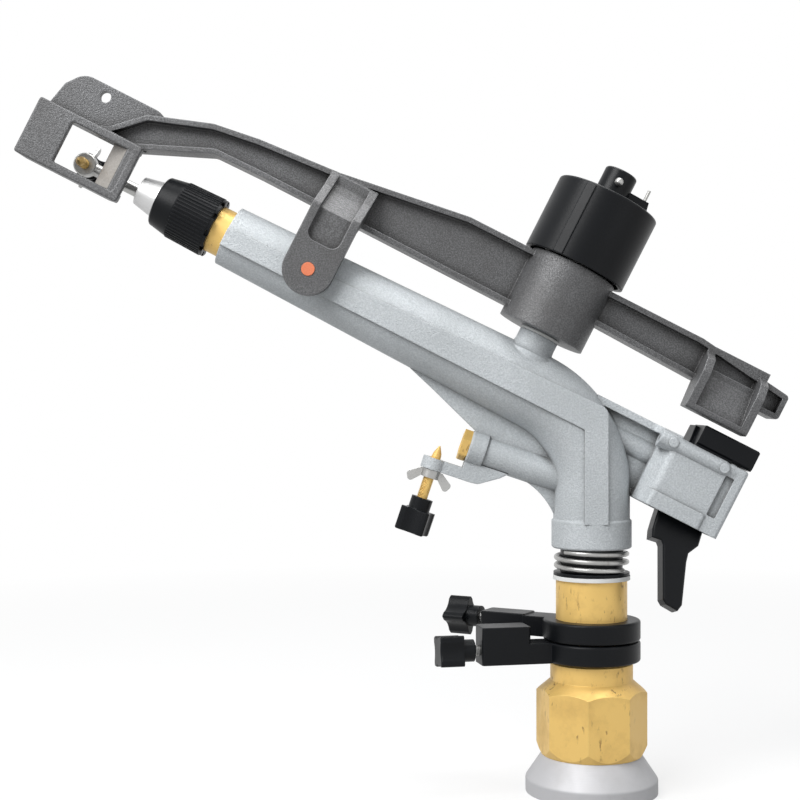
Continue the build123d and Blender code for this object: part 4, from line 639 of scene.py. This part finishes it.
# %% Rib tree
BEAD_SIDES = 6
rib_tree, given = new_tree("ribs", [("Count", 60), ("Foot Radius", 0.0167), ("Head Radius", 0.016),
                                    ("Length", 0.02), ("Width", 0.0004)])
foot = add_node(rib_tree, "ShaderNodeCombineXYZ", None, X=given.outputs["Foot Radius"])
head = add_node(rib_tree, "ShaderNodeCombineXYZ", None,
                X=given.outputs["Head Radius"], Z=given.outputs["Length"])
bar = add_node(rib_tree, "GeometryNodeCurvePrimitiveLine", None,
               Start=foot.outputs[0], End=head.outputs[0])
bead = add_node(rib_tree, "GeometryNodeCurvePrimitiveCircle", None,
                Resolution=BEAD_SIDES, Radius=given.outputs["Width"])
rib = add_node(rib_tree, "GeometryNodeCurveToMesh", None,
               Curve=bar.outputs[0], Profile_Curve=bead.outputs[0], Fill_Caps=True)
places = add_node(rib_tree, "GeometryNodeMeshLine", None,
                  Count=given.outputs["Count"], Offset=(0, 0, 0))
index = add_node(rib_tree, "GeometryNodeInputIndex").outputs[0]
step = worked(rib_tree, "DIVIDE", math.tau, given.outputs["Count"])
spin = add_node(rib_tree, "ShaderNodeCombineXYZ", None, Z=worked(rib_tree, "MULTIPLY", index, step))
ring = add_node(rib_tree, "GeometryNodeInstanceOnPoints", None,
                Points=places.outputs[0], Instance=rib.outputs[0], Rotation=spin.outputs[0])
close_tree(rib_tree, given, ring.outputs[0])
print("ribs", len(rib_tree.nodes), "nodes")

# %% Nozzle cap ribs
CAP_REAR = 232.1
CAP_BODY = 23.6
CAP_FOOT_R = 16.6
CAP_SHOULDER_R = 16.0
CAP_NOTCH = 1.9
RIB_COUNT = 50
RIB_R = 0.55
RIB_GAP = 0.6
values = {"Count": RIB_COUNT, "Foot Radius": CAP_FOOT_R * MM, "Head Radius": CAP_SHOULDER_R * MM,
          "Length": (CAP_BODY - CAP_NOTCH - RIB_GAP) * MM, "Width": RIB_R * MM}
ribs = grown("nozzle_cap_ribs", rib_tree, values, axis_matrix(spot(CAP_REAR + CAP_NOTCH), ALONG),
             black_moulding, "jet_cap")
print("ribs", len(ribs.data.polygons), "faces")

# %% [markdown]
# ## Bare metal on the vane
# Water scours the paint off the slanting vane inside the box. A thin plate lies over its near face,
# a little wavy along its free edge. Sizes are in millimetres, along the barrel, up and near.

# %% Worn face of the vane
BOX_START = 284.8
BOX_LOW, BOX_HIGH = -12.3, 20.6
VANE_FOOT = (BOX_START + 6.9, 12.6)
VANE_TIP = (BOX_START + 18.2, -1.0)
VANE_LIFT = 0.12
PLATE_T = 0.5
FOOT_GAP = 0.4
TIP_GAP = 0.5
WAVES = ((0.25, 17.0), (0.15, 41.0))
RAIL = 4.5
ROWS = 14


def vane_row(share):
    """The points of one row across the vane: foot and tip of the plate, above and below."""
    up = BOX_LOW + RAIL + (BOX_HIGH - BOX_LOW - 2 * RAIL) * share
    wave = sum(size * math.sin(share * count) for size, count in WAVES)
    foot = Vector(VANE_FOOT)
    tip = Vector(VANE_TIP)
    side = (tip - foot).normalized()
    outward = Vector((side.y, -side.x))
    if outward.x < 0:
        outward = -outward
    reach = (tip - foot).length - TIP_GAP + wave
    near_foot = foot + outward * VANE_LIFT + side * FOOT_GAP
    near_tip = foot + side * reach + outward * VANE_LIFT
    depth = outward * PLATE_T
    outline = (near_foot, near_tip, near_tip - depth, near_foot - depth)
    return [spot(point.x, up, point.y) for point in outline]


plate = bmesh.new()
rows = [[plate.verts.new(point) for point in vane_row(index / ROWS)] for index in range(ROWS + 1)]
for first, second in zip(rows, rows[1:]):
    for corner in range(4):
        after = (corner + 1) % 4
        plate.faces.new((first[corner], first[after], second[after], second[corner]))
plate.faces.new(rows[0])
plate.faces.new(rows[-1])
mesh = bpy.data.meshes.new("vane_bare_metal")
plate.to_mesh(mesh)
plate.free()
settle("vane_bare_metal", mesh, Matrix.Identity(4), worn_metal, "arm")
print("vane", ROWS, "rows")
